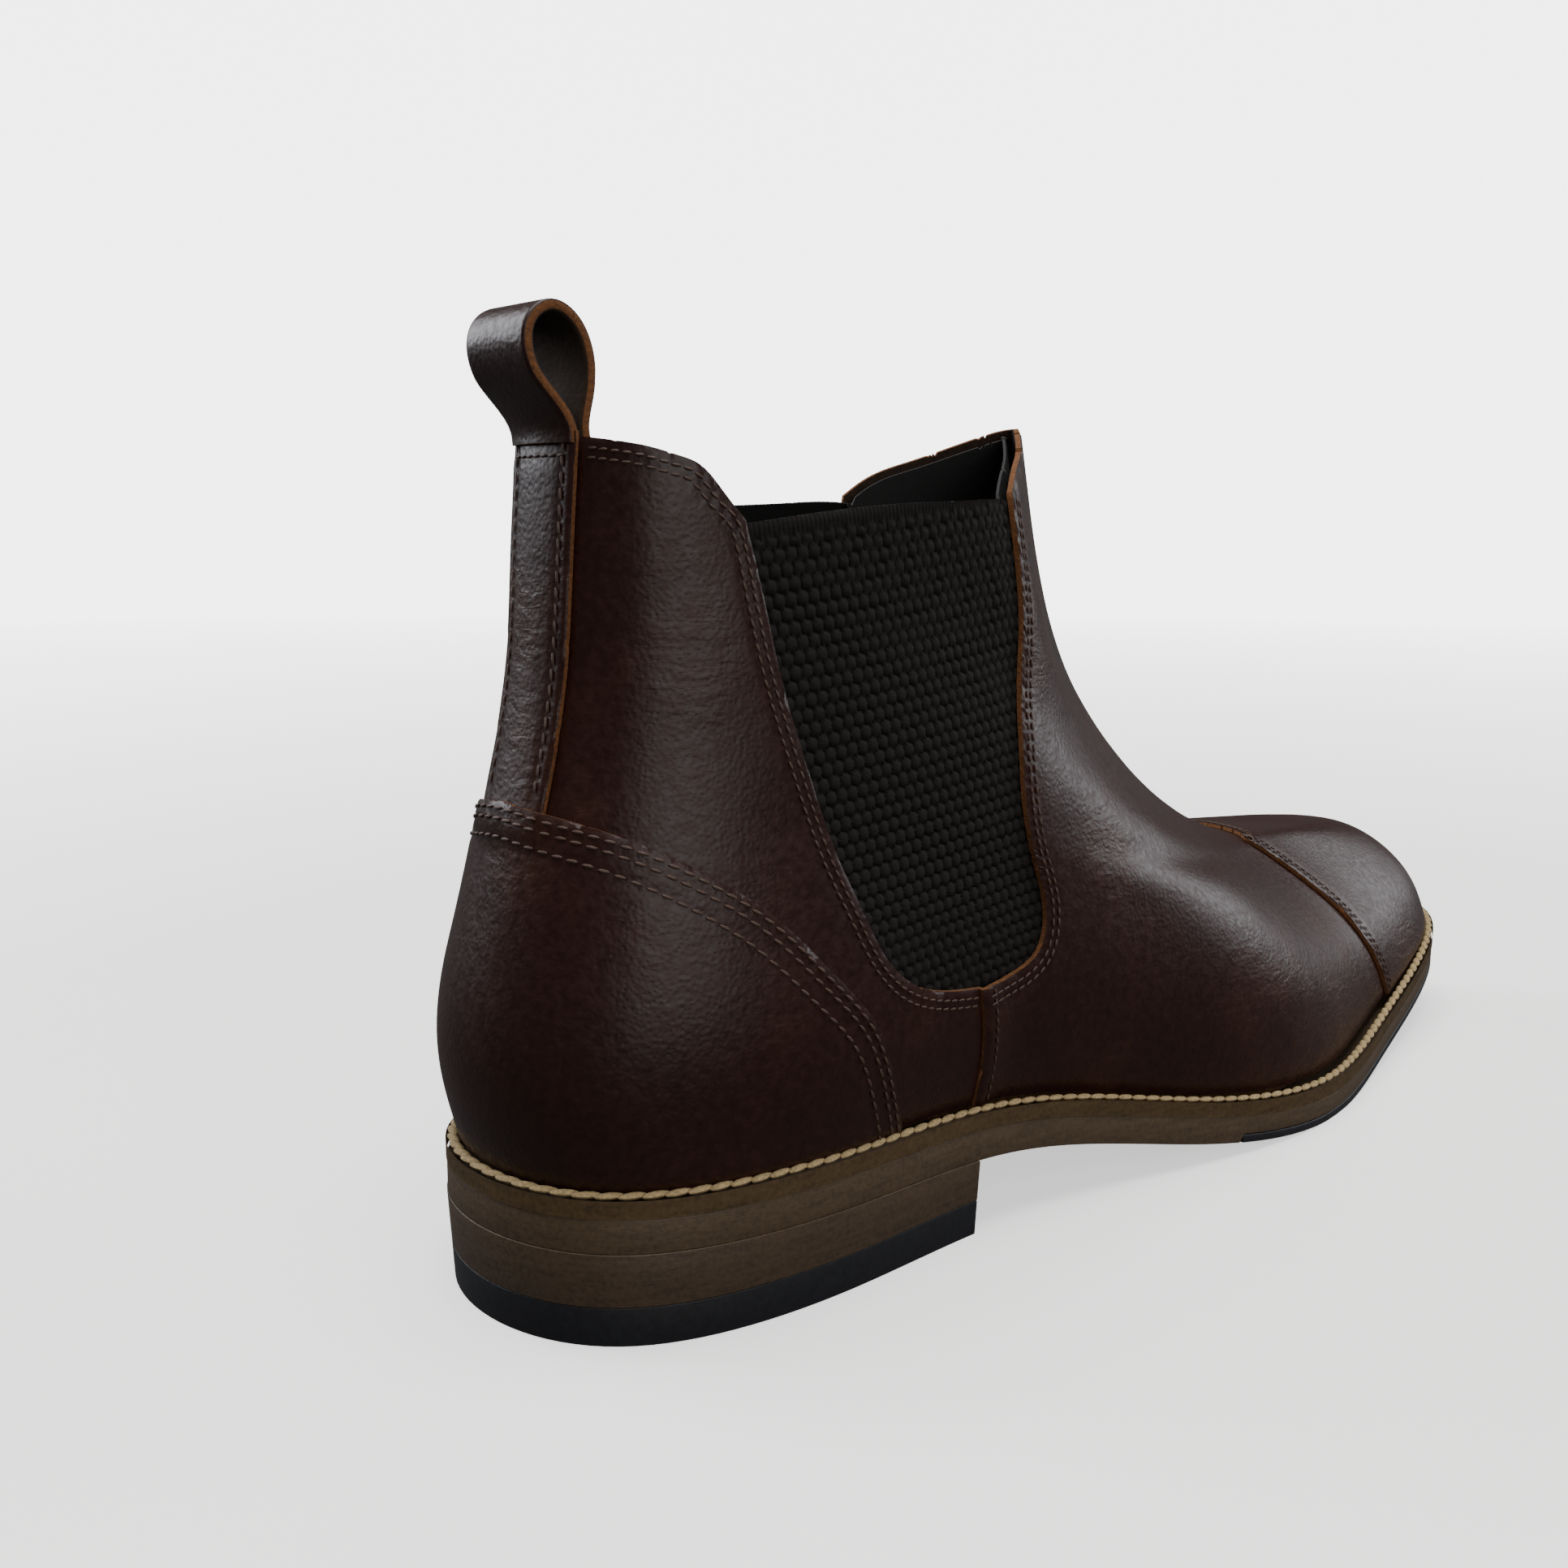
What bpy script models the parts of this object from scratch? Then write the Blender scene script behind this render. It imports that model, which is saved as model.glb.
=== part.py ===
"""A right-foot leather chelsea boot, as the separate pieces that a shoemaker puts together.

Drawn in millimetres: x runs from the back of the heel (0) to the toe, y towards the wearer's
left (the medial side of this right boot) and z up from the floor. The objects are placed in
metres, with the origin under the middle of the boot.

Every piece of the upper is drawn on one shared surface, the outside of the main leather. A point
on it has a turn, in degrees around the boot from the heel (0) past the lateral side (90) to the
toe (180) and back along the medial side, and a rise, from the sole (0) to the collar (1).
"""
import math

import bmesh
import bpy
import numpy as np
from mathutils import Vector
from mathutils.geometry import delaunay_2d_cdt

# --- driving dimensions, millimetres ------------------------------------------------------------
MM = 0.001
SOLE_LENGTH = 308.0
ORIGIN = (153.4, 1.2)          # point of the drawing that lies at the part's origin
GAP = 0.3                      # clearance between pieces that lie on each other
CURVE_GAP = 0.4                # the same where both pieces curve, and their facets differ

WELT_THICK = 3.2
OUTSOLE_THICK = 5.7
SOLE_THICK = WELT_THICK + GAP + OUTSOLE_THICK
TREAD_THICK = 1.8              # rubber half sole under the forefoot
TREAD_START = 159.0
HEEL_LENGTH = 87.0
TOP_LIFT_THICK = 6.8
WELT_SHOWING = 4.3             # width of welt outside the upper
WELT_HIDDEN = 5.0              # width of welt under the upper
THREAD_RADIUS = 0.35           # thread that lies on the welt
THREAD_INSET = 0.75
NAIL_HEAD, NAIL_SHANK = 2.0, 0.9   # radii

LEATHER = 1.4                  # thickness of the vamp and quarters
OVERLAY = 1.0                  # cap, counter cover and back strip, which lie on the main leather
MIDDLE = 1.0                   # elastic, toe puff and stiffener, under the main leather
LINING = 1.0
OVER = CURVE_GAP + OVERLAY     # how far the overlays' outer face lies outside the main leather's
UNDER = -LEATHER - CURVE_GAP   # the same for the middle layer, which is inside it
INNER = UNDER - MIDDLE - 2 * CURVE_GAP

STRAP_WIDTH = 17.0
LOOP_THICK = 1.5

# Height of the welt's top above the floor, along the boot: heel, waist, ball, toe spring.
SOLE_X = [0, 60, 104, 150, 190, 210, SOLE_LENGTH]
SOLE_Z = [25.3, 24.6, 22.2, 13.4, 9.2, 9.4, 25.0]

# Sections of the last. Each loop leans from a point on the back seam to one on the front ridge.
# Its half widths are given at the stations along it, on the lateral and the medial side, as the
# half width of the ellipse that passes there. bow moves the loop's front end to the medial side.
STATION = [0, 0.06, 0.16, 0.30, 0.46, 0.62, 0.76, 0.90, 1.0]
RISE = [0, 0.14, 0.30, 0.50, 0.70, 0.86, 1.0]
BACK = [(4, 25.3), (0, 44), (3.4, 64), (8.4, 84), (13.2, 106), (15, 126), (16.4, 146)]
FRONT = [(304, 25), (298.6, 39), (274, 53), (220.5, 56), (166.5, 82.5), (141, 113), (130, 150)]
BOW = [3, 6.5, 11.5, 11.5, 6.5, 4, 0]
LATERAL = [
    [72, 58, 44, 33, 37, 42.5, 36.5, 34, 37],
    [70, 60, 47.5, 37.5, 40, 43, 33.5, 29.5, 35.5],
    [64, 56, 46, 38.5, 37.5, 37, 21, 17, 26],
    [56, 49, 41.5, 37, 35.5, 35.5, 32, 23, 25.5],
    [48, 42, 36.5, 33.5, 32.5, 32, 29, 24.5, 22.5],
    [45, 38.5, 33, 30.5, 29.5, 30, 30, 22.5, 21.5],
    [45, 37.5, 31, 28.5, 28, 27.5, 25, 19, 10],
]
MEDIAL = [
    [72, 58, 41, 26, 26, 40.5, 46.5, 42, 41],
    [70, 60, 45, 32, 32, 43, 45, 40.5, 39.5],
    [64, 56, 44, 35, 34, 36.5, 31.5, 28.5, 31.5],
    [56, 49, 40, 35, 34, 32.5, 28, 23.5, 26.5],
    [48, 42, 36, 33, 32, 31, 28, 25, 23],
    [45, 38.5, 33, 30.5, 30, 29, 26.5, 23.5, 22.5],
    [45, 37.5, 31, 28.5, 28, 27.5, 25, 19, 10],
]
WELT_LATERAL = [76, 62.5, 48, 37, 41, 46.5, 40.5, 38, 40]
WELT_MEDIAL = [76, 62.5, 45, 30, 30, 44.5, 50.5, 46, 44]
WELT_BOW = 3.0
SAG_RISE = 0.55                # below this rise the loops bend to follow the sole

# --- pattern lines, as (turn, rise); both sides of the boot share them --------------------------
TOPLINE = [(0, .992), (12, .990), (21, .985), (29.5, .979), (37.5, .970), (43, .959), (48, .932),
           (51.5, .912)]
GORE_REAR = [(51.5, .912), (53.2, .848), (53.7, .736), (54, .62), (53.5, .471), (53.4, .371),
             (55, .262), (57.2, .223), (59.5, .204), (62.3, .194), (65.6, .19)]
GORE_FRONT = [(65.6, .19), (67.9, .197), (70.4, .211), (72.5, .234), (73.9, .266), (76.5, .353),
              (87.5, .582), (98.9, .71), (109.9, .811), (116.4, .89), (119.1, .952)]
FRONT_LIP = [(119.1, .952), (124, .965), (135, .980), (150, .994), (165, 1.002), (180, 1.003)]
SIDE_SEAM = [(64.5, 0), (65.6, .10), (65.6, .19)]
COUNTER_TOP = [(0, .521), (10, .513), (22, .496), (32.6, .455), (41.1, .377), (47.5, .266),
               (52.2, .181), (54.3, .077), (54.8, 0)]
CAP_SEAM = [(129.4, 0), (128.2, .07), (127.3, .13), (127, .185), (126.8, .24), (127.8, .30),
            (133.5, .38), (146, .445), (162, .485), (180, .50)]
STRIP_SIDE = [(9.1, .527), (9.7, .62), (10.5, .74), (11, .86), (11.3, .992)]
GORE_OUTER_EDGE = [(48.5, .905), (49.8, .848), (50.2, .736), (50.5, .62), (50, .471), (49.8, .371),
                   (51.2, .25), (53.8, .19), (57.5, .16), (62.3, .148), (66, .146), (70, .155),
                   (74.5, .185), (77.5, .26), (80.5, .353), (91.5, .57), (102.5, .69), (113, .79),
                   (119.8, .87), (123.5, .945)]
GORE_TOP = [(123.5, .945), (119.2, .947), (104.3, .944), (82.4, .935), (65, .922), (48.5, .905)]
STIFFENER_TOP = [(0, .45), (12, .44), (24, .41), (34, .35), (41, .26), (45, .16), (46.5, .02)]
PUFF_TOP = [(133, .02), (131.5, .15), (133, .25), (142, .34), (160, .40), (180, .42)]

FOOT = 0.004                   # rise at which the panels of the main leather end above the sole
SEAM_GAP = 0.1                 # turn between each panel and the side seam or the gore's edge

# Lattice of the surface pieces.
FINE, COARSE = 1, 2            # outer pieces use every rise of the lattice, others every second
TURN_STEP = 5.0
OUTLINE_STEP = 5.0             # rough spacing of the points on an outline
OUTLINE_MARGIN = 3.0           # lattice points closer than this to an outline are left out
LATTICE_RISE = [.035, .07, .11, .15, .19, .23, .27, .31, .355, .40, .45, .50, .56, .62, .69, .76,
                .83, .90, .95]
MM_PER_TURN = 1.6              # rough size of a degree and of a rise of 1, for even triangles
MM_PER_RISE = 130.0

# --- joints -------------------------------------------------------------------------------------
BALL_PIVOT = (205.0, 0.0, 9.5)
COLLAR_PIVOT = (11.2, 0.0, 87.5)
LOOP_PIVOT = (16.2, 0.0, 146.6)


# --- the shared surface -------------------------------------------------------------------------
def spline(knots, values, at):
    """Natural cubic spline through the values (numbers or rows of numbers) at the knots."""
    knots, values, at = np.array(knots, float), np.array(values, float), np.asarray(at, float)
    count, step = len(knots), np.diff(knots)
    matrix, right = np.eye(count), np.zeros_like(values)
    for i in range(1, count - 1):
        matrix[i, i - 1:i + 2] = step[i - 1], 2 * (step[i - 1] + step[i]), step[i]
        right[i] = 6 * ((values[i + 1] - values[i]) / step[i]
                        - (values[i] - values[i - 1]) / step[i - 1])
    bend = np.linalg.solve(matrix, right)
    cell = np.clip(np.searchsorted(knots, at, side="right") - 1, 0, count - 2)
    width = step[cell]
    low, high = (knots[cell + 1] - at) / width, (at - knots[cell]) / width
    if values.ndim > 1:
        low, high, width = low[..., None], high[..., None], width[..., None]
    curve = ((low ** 3 - low) * bend[cell] + (high ** 3 - high) * bend[cell + 1]) * width ** 2 / 6
    return low * values[cell] + high * values[cell + 1] + curve


def welt_top(x):
    return spline(SOLE_X, SOLE_Z, np.clip(x, -3.0, SOLE_LENGTH + 3.0))


def sole_bottom(x):
    """Underside of the sole, which is flat on the floor under the ball of the foot."""
    return np.maximum(welt_top(x) - SOLE_THICK, 0.0)


def last_surface(turn, rise):
    """Points of the shared surface at these turns (degrees) and rises."""
    angle = np.radians(np.asarray(turn, float))
    rise = np.asarray(rise, float) + 0 * angle
    along = (1 - np.cos(angle)) / 2
    back, front = spline(RISE, BACK, rise), spline(RISE, FRONT, rise)
    x = back[..., 0] + (front[..., 0] - back[..., 0]) * along
    z = back[..., 1] + (front[..., 1] - back[..., 1]) * along
    share = spline(STATION, np.eye(len(STATION)), along)
    lateral = (share * spline(RISE, LATERAL, rise)).sum(-1)
    medial = (share * spline(RISE, MEDIAL, rise)).sum(-1)
    half = np.where(np.sin(angle) >= 0, lateral, medial)
    y = spline(RISE, BOW, rise) * along ** 2 - half * np.sin(angle)
    straight = BACK[0][1] + (FRONT[0][1] - BACK[0][1]) * along
    z = z + (welt_top(x) - straight) * np.clip(1 - rise / SAG_RISE, 0, 1) ** 1.5
    return np.stack([x, y, z], -1)


def skin(turn, rise, outside):
    """Points that lie this far outside the shared surface."""
    turn, rise = np.asarray(turn, float), np.asarray(rise, float)
    small_turn, small_rise = 0.5, 0.01
    around = last_surface(turn + small_turn, rise) - last_surface(turn - small_turn, rise)
    upward = last_surface(turn, rise + small_rise) - last_surface(turn, rise - small_rise)
    normal = np.cross(around, upward)
    normal /= np.linalg.norm(normal, axis=-1, keepdims=True)
    return last_surface(turn, rise) + normal * outside


def welt_edge(turn):
    angle = np.radians(np.asarray(turn, float))
    along = (1 - np.cos(angle)) / 2
    share = spline(STATION, np.eye(len(STATION)), along)
    half = np.where(np.sin(angle) >= 0, share @ np.array(WELT_LATERAL, float),
                    share @ np.array(WELT_MEDIAL, float))
    return np.stack([SOLE_LENGTH * along, WELT_BOW * along ** 2 - half * np.sin(angle)], -1)


def inset(outline, amount):
    """A closed plan outline, moved inward by this amount."""
    tangent = np.roll(outline, -1, axis=0) - np.roll(outline, 1, axis=0)
    tangent /= np.linalg.norm(tangent, axis=1, keepdims=True)
    inward = np.stack([-tangent[:, 1], tangent[:, 0]], -1)
    return outline + inward * amount


# --- objects ------------------------------------------------------------------------------------
def clear_scene():
    for item in list(bpy.data.objects):
        bpy.data.objects.remove(item, do_unlink=True)


def material(name, colour, roughness, metallic=0.0):
    made = bpy.data.materials.get(name)
    if made is None:
        made = bpy.data.materials.new(name)
        made.use_nodes = True
        shader = made.node_tree.nodes["Principled BSDF"]
        shader.inputs["Base Color"].default_value = (*colour, 1.0)
        shader.inputs["Roughness"].default_value = roughness
        shader.inputs["Metallic"].default_value = metallic
    return made


def place(point):
    """A drawing point in millimetres as a world point in metres."""
    return Vector(((point[0] - ORIGIN[0]) * MM, (point[1] - ORIGIN[1]) * MM, point[2] * MM))


def make_object(name, bm, finish, origin=(ORIGIN[0], ORIGIN[1], 0.0)):
    """Turn the bmesh, in world metres, into an object whose origin is at a drawing point."""
    bmesh.ops.recalc_face_normals(bm, faces=bm.faces)
    home = place(origin)
    bmesh.ops.translate(bm, verts=bm.verts, vec=-home)
    mesh = bpy.data.meshes.new(name)
    bm.to_mesh(mesh)
    bm.free()
    mesh.shade_smooth()
    mesh.set_sharp_from_angle(angle=math.radians(35))
    mesh.materials.append(finish)
    item = bpy.data.objects.new(name, mesh)
    item.location = home
    bpy.context.collection.objects.link(item)
    return item


def trace(*lines):
    """One closed outline through the given pattern lines, each a smooth curve with sharp ends."""
    points = []
    for line in lines:
        line = np.array(line, float)
        size = line * (MM_PER_TURN, MM_PER_RISE)
        run = np.concatenate([[0], np.cumsum(np.linalg.norm(np.diff(size, axis=0), axis=1))])
        count = max(2, int(round(run[-1] / OUTLINE_STEP)))
        smooth = spline(run, line, np.linspace(0, run[-1], count + 1))
        points.extend(smooth[:-1].tolist())
    return points


def mirrored(line):
    """The same pattern line on the other side of the heel."""
    return [(-turn, rise) for turn, rise in reversed(line)]


def over_toe(line):
    """The same pattern line on the other side of the toe."""
    return [(360 - turn, rise) for turn, rise in reversed(line)]


def shifted(line, turn=0.0, rise=0.0):
    return [(t + turn, r + rise) for t, r in line]


def inside(outline, point, margin):
    """True if the point is inside the outline and not close to it. All in millimetres."""
    nexts = np.roll(outline, -1, axis=0)
    step = nexts - outline
    share = ((point - outline) * step).sum(1) / (step ** 2).sum(1)
    near = outline + np.clip(share, 0, 1)[:, None] * step
    if np.linalg.norm(near - point, axis=1).min() < margin:
        return False
    crossing = (outline[:, 1] > point[1]) != (nexts[:, 1] > point[1])
    rising = np.where(step[:, 1] == 0, 1, step[:, 1])
    at = outline[:, 0] + (point[1] - outline[:, 1]) / rising * step[:, 0]
    return (crossing & (point[0] < at)).sum() % 2 == 1


def panel(name, outline, outside, thick, finish, origin=(ORIGIN[0], ORIGIN[1], 0.0),
          skip=FINE):
    """A sheet cut to a pattern outline, with its outer face this far outside the surface."""
    size = np.array([MM_PER_TURN, MM_PER_RISE])
    edge = np.array(outline) * size
    points = [Vector(p) for p in edge]
    for turn in np.arange(-180, 361, TURN_STEP * (1 + skip) / 2) + TURN_STEP / 2:
        for rise in LATTICE_RISE[::skip]:
            point = np.array([turn, rise]) * size
            if inside(edge, point, OUTLINE_MARGIN):
                points.append(Vector(point))
    found, _, faces, _, _, _ = delaunay_2d_cdt(points, [], [list(range(len(edge)))], 1, 1e-5)
    flat = np.array([tuple(p) for p in found]) / size
    solid = skin(flat[:, 0], flat[:, 1], outside)
    bm = bmesh.new()
    verts = [bm.verts.new(place(p)) for p in solid]
    for face in faces:
        bm.faces.new([verts[i] for i in face])
    item = make_object(name, bm, finish, origin)
    middle = len(flat) // 2
    outward = skin(flat[:, 0], flat[:, 1], outside + 1) - solid
    item.data.update()
    if item.data.vertices[middle].normal.dot(Vector(outward[middle])) < 0:
        item.data.flip_normals()
    thicken = item.modifiers.new("thickness", "SOLIDIFY")
    thicken.thickness = thick * MM
    thicken.offset = -1.0
    return item


def plate(name, outline, top, bottom, finish, start=None, end=None):
    """A plate inside a plan outline; top and bottom give its faces' heights along the boot."""
    half = len(outline) // 2
    lateral, medial = outline[:half + 1], np.roll(outline, -1, axis=0)[:half - 2:-1]
    rows = clip_rows(list(zip(lateral, medial)), start, end)
    bm = bmesh.new()
    upper = [[bm.verts.new(place((*p, float(top(p[0]))))) for p in row] for row in rows]
    lower = [[bm.verts.new(place((*p, float(bottom(p[0]))))) for p in row] for row in rows]
    for i in range(len(rows) - 1):
        bm.faces.new((upper[i][0], upper[i][1], upper[i + 1][1], upper[i + 1][0]))
        bm.faces.new((lower[i][0], lower[i + 1][0], lower[i + 1][1], lower[i][1]))
        for side in (0, 1):
            bm.faces.new((upper[i][side], upper[i + 1][side], lower[i + 1][side], lower[i][side]))
    for i in (0, -1):
        if np.linalg.norm(rows[i][0] - rows[i][1]) > 0.01:
            bm.faces.new((upper[i][0], lower[i][0], lower[i][1], upper[i][1]))
    bmesh.ops.remove_doubles(bm, verts=bm.verts, dist=1e-7)
    return make_object(name, bm, finish)


def clip_rows(rows, start, end):
    """Cut rows across a plate off square at start and end."""
    def between(x):
        for a, b in zip(rows, rows[1:]):
            low, high = (a[0][0] + a[1][0]) / 2, (b[0][0] + b[1][0]) / 2
            if low <= x <= high:
                share = (x - low) / (high - low)
                cut = [a[k] + (b[k] - a[k]) * share for k in (0, 1)]
                return tuple(np.array([x, p[1]]) for p in cut)
        raise ValueError("the plate is not that long")

    kept = [row for row in rows if (start is None or row[0][0] > start + 1)
            and (end is None or row[0][0] < end - 1)]
    first = [] if start is None else [between(start)]
    last = [] if end is None else [between(end)]
    return first + kept + last


def plan(turn_step=6.0):
    """Turns around the boot for plan outlines."""
    return np.arange(0, 360, turn_step)


def cylinder(name, x, y, radius, low, high):
    bm = bmesh.new()
    bmesh.ops.create_cone(bm, cap_ends=True, segments=16, radius1=radius * MM, radius2=radius * MM,
                          depth=(high - low) * MM)
    bmesh.ops.translate(bm, verts=bm.verts, vec=place((x, y, (high + low) / 2)))
    return make_object(name, bm, material("cutter", (1, 0, 0), 0.5))


def cut(item, cutter):
    """Cut one object with another, which becomes a hidden guide."""
    cutter.hide_render = True
    cutter.display_type = "WIRE"
    difference = item.modifiers.new("cut " + cutter.name, "BOOLEAN")
    difference.operation = "DIFFERENCE"
    difference.solver = "EXACT"
    difference.object = cutter


# --- finishes -----------------------------------------------------------------------------------
def brown_leather():
    return material("brown_leather", (0.055, 0.022, 0.014), 0.38)


def raw_leather():
    return material("tan_leather", (0.30, 0.15, 0.06), 0.7)


def lining_leather():
    return material("black_lining", (0.012, 0.011, 0.011), 0.8)


def elastic():
    return material("black_elastic", (0.014, 0.013, 0.012), 0.85)


# --- upper --------------------------------------------------------------------------------------
def build_vamp():
    seam = shifted(SIDE_SEAM, turn=SEAM_GAP, rise=FOOT)
    edge = [seam, shifted(GORE_FRONT, turn=SEAM_GAP), FRONT_LIP]
    medial = [over_toe(line) for line in reversed(edge)]
    sole = [(295.4, FOOT), (180, FOOT), (64.6, FOOT)]
    panel("vamp", trace(*edge, *medial, sole), 0.0, LEATHER, brown_leather())


def build_quarters():
    """The quarters meet at the back seam, and end at the side seam and the gore."""
    back, top = 0.25, TOPLINE[0][1]
    topline = [(back, top)] + TOPLINE[1:]
    rear = shifted(GORE_REAR, turn=-SEAM_GAP)
    seam = shifted(SIDE_SEAM, turn=-SEAM_GAP, rise=FOOT)[::-1]
    lines = [topline, rear, seam, [(seam[-1][0], FOOT), (back, FOOT)], [(back, FOOT), (back, top)]]
    panel("quarter_lateral", trace(*lines), 0.0, LEATHER, brown_leather())
    panel("quarter_medial", trace(*[mirrored(line) for line in reversed(lines)]), 0.0, LEATHER,
          brown_leather())


def build_gores():
    lines = [GORE_OUTER_EDGE, GORE_TOP]
    panel("gore_lateral", trace(*lines), UNDER, MIDDLE, elastic(), skip=COARSE)
    panel("gore_medial", trace(*[over_toe(line) for line in reversed(lines)]), UNDER, MIDDLE,
          elastic(), skip=COARSE)


def build_overlays():
    foot = 2 * FOOT
    counter = COUNTER_TOP[:-1] + [(COUNTER_TOP[-1][0], foot)]
    panel("counter_cover", trace(mirrored(counter), counter, [counter[-1], (-counter[-1][0], foot)]),
          OVER, OVERLAY, brown_leather())
    seam = [(129.3, foot)] + CAP_SEAM[1:]
    panel("toe_cap", trace(seam, over_toe(seam), [(360 - seam[0][0], foot), seam[0]]),
          OVER, OVERLAY, brown_leather(), BALL_PIVOT)
    side = STRIP_SIDE
    top = [(-side[-1][0], side[-1][1]), side[-1]]
    bottom = [side[0], (0, .531), (-side[0][0], side[0][1])]
    panel("back_strip", trace(top, side[::-1], bottom, mirrored(side)[::-1]),
          OVER, OVERLAY, brown_leather(), COLLAR_PIVOT)


def build_linings():
    """The linings end a little inside the edges of the leather."""
    short, foot = 0.6, 0.01
    seam = shifted(SIDE_SEAM, turn=short, rise=foot)
    edge = [seam, shifted(GORE_FRONT, turn=short),
            shifted(FRONT_LIP[:-1], turn=short, rise=-0.004) + [(180, FRONT_LIP[-1][1] - 0.004)]]
    medial = [over_toe(line) for line in reversed(edge)]
    panel("vamp_lining", trace(*edge, *medial, [(294.9, foot), (65.1, foot)]), INNER, LINING,
          lining_leather(), skip=COARSE)
    rear = [shifted(TOPLINE, rise=-0.003), shifted(GORE_REAR, turn=-short),
            shifted(SIDE_SEAM, turn=-short, rise=foot)[::-1]]
    rear[0][-1] = rear[1][0]
    far = [mirrored(line) for line in reversed(rear)]
    panel("quarter_lining", trace(*rear, [(63.9, foot), (-63.9, foot)], *far), INNER, LINING,
          lining_leather(), skip=COARSE)


def build_stiffeners():
    board = material("fibre_board", (0.42, 0.33, 0.22), 0.8)
    panel("heel_stiffener", trace(mirrored(STIFFENER_TOP), STIFFENER_TOP,
                                  [(46.5, .02), (-46.5, .02)]), UNDER, MIDDLE, board, skip=COARSE)
    panel("toe_puff", trace(PUFF_TOP, over_toe(PUFF_TOP), [(227, .02), (133, .02)]),
          UNDER, MIDDLE, board, BALL_PIVOT, skip=COARSE)


def loop_path():
    """Middle of the pull loop's strap in the (x, z) plane, from its foot and back to it."""
    knots = [(15.3, 146.6), (13.1, 149.4), (9.8, 153.2), (8.2, 157.6), (9.2, 161.6), (12.8, 163.9),
             (16.6, 162.3), (18.9, 157.6), (19.1, 153.2), (17.8, 149.4), (17.1, 146.6)]
    return spline(np.arange(len(knots)), knots, np.linspace(0, len(knots) - 1, 33))


def build_pull_loop():
    path = loop_path()
    tangent = np.gradient(path, axis=0)
    tangent /= np.linalg.norm(tangent, axis=1, keepdims=True)
    outward = np.stack([-tangent[:, 1], tangent[:, 0]], -1) * LOOP_THICK / 2
    outer, inner = path + outward, path - outward
    inner = inner[3:-3]
    inner[0] = inner[-1] = (inner[0] + inner[-1]) / 2
    inner = inner[:-1]
    bm = bmesh.new()
    sides = []
    for y in (-STRAP_WIDTH / 2, STRAP_WIDTH / 2):
        out = [bm.verts.new(place((x, y, z))) for x, z in outer]
        hole = [bm.verts.new(place((x, y, z))) for x, z in inner]
        sides.append((out, hole))
    for out, hole in sides:
        ring_faces(bm, out, hole)
    for k in (0, 1):
        a, b = sides[0][k], sides[1][k]
        for i in range(len(a)):
            j = (i + 1) % len(a)
            bm.faces.new((a[i], a[j], b[j], b[i]))
    return make_object("pull_loop", bm, raw_leather(), LOOP_PIVOT)


def ring_faces(bm, out, hole):
    """Fill the flat area between an outline and a hole in it."""
    loops = []
    for ring in (out, hole):
        for i in range(len(ring)):
            loops.append(bm.edges.get((ring[i], ring[(i + 1) % len(ring)]))
                         or bm.edges.new((ring[i], ring[(i + 1) % len(ring)])))
    bmesh.ops.triangle_fill(bm, use_beauty=True, use_dissolve=False, edges=loops)


# --- sole ---------------------------------------------------------------------------------------
def build_sole():
    wood = material("stacked_leather", (0.13, 0.075, 0.038), 0.6)
    rubber = material("black_rubber", (0.010, 0.011, 0.014), 0.7)
    edge = welt_edge(plan())
    under, heel = edge * (1, 0.992), edge * (1, 0.975) + (0.6, 0.0)

    def outsole_top(x):
        return welt_top(x) - WELT_THICK - GAP

    def outsole_under(x):
        return sole_bottom(x) + (0.0 if x < TREAD_START - GAP else TREAD_THICK + GAP)

    build_welt(edge)
    plate("outsole", refine(under), outsole_top, outsole_under, wood)
    plate("tread", under, lambda x: sole_bottom(x) + TREAD_THICK, sole_bottom, rubber,
          start=TREAD_START)
    plate("heel_block", heel, lambda x: sole_bottom(x) - GAP, lambda x: TOP_LIFT_THICK + GAP,
          wood, end=HEEL_LENGTH)
    plate("top_lift", heel, lambda x: TOP_LIFT_THICK, lambda x: 0.0, rubber, end=HEEL_LENGTH)
    build_heel_nails()


def refine(outline):
    """Add a crossing to the outline on both sides of the tread's start."""
    half = len(outline) // 2
    sides = [outline[:half + 1], np.concatenate([outline[half:], outline[:1]])[::-1]]
    done = []
    for side in sides:
        order = side[:, 0]
        extra = [TREAD_START - GAP - 0.1, TREAD_START - GAP + 0.1]
        x = np.sort(np.concatenate([order, extra]))
        done.append(np.stack([x, np.interp(x, order, side[:, 1])], -1))
    return np.concatenate([done[0], done[1][-2:0:-1]])


def build_welt(edge):
    """The welt runs all the way round, in the crease under the upper."""
    tan = material("welt_leather", (0.36, 0.22, 0.11), 0.65)
    inner = inset(edge, WELT_SHOWING + WELT_HIDDEN)
    bm = bmesh.new()
    rings = []
    for outline, drop in ((edge, 0), (inner, 0), (inner, WELT_THICK), (edge, WELT_THICK)):
        rings.append([bm.verts.new(place((x, y, float(welt_top(x)) - drop))) for x, y in outline])
    count = len(edge)
    for k in range(4):
        a, b = rings[k], rings[(k + 1) % 4]
        for i in range(count):
            j = (i + 1) % count
            bm.faces.new((a[i], a[j], b[j], b[i]))
    make_object("welt", bm, tan)
    thread = inset(welt_edge(plan(5.0)), THREAD_INSET)
    lift = GAP + 0.4
    closed_tube("welt_thread", [(x, y, float(welt_top(x)) + lift) for x, y in thread],
                THREAD_RADIUS, material("waxed_thread", (0.45, 0.36, 0.22), 0.8))


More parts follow.
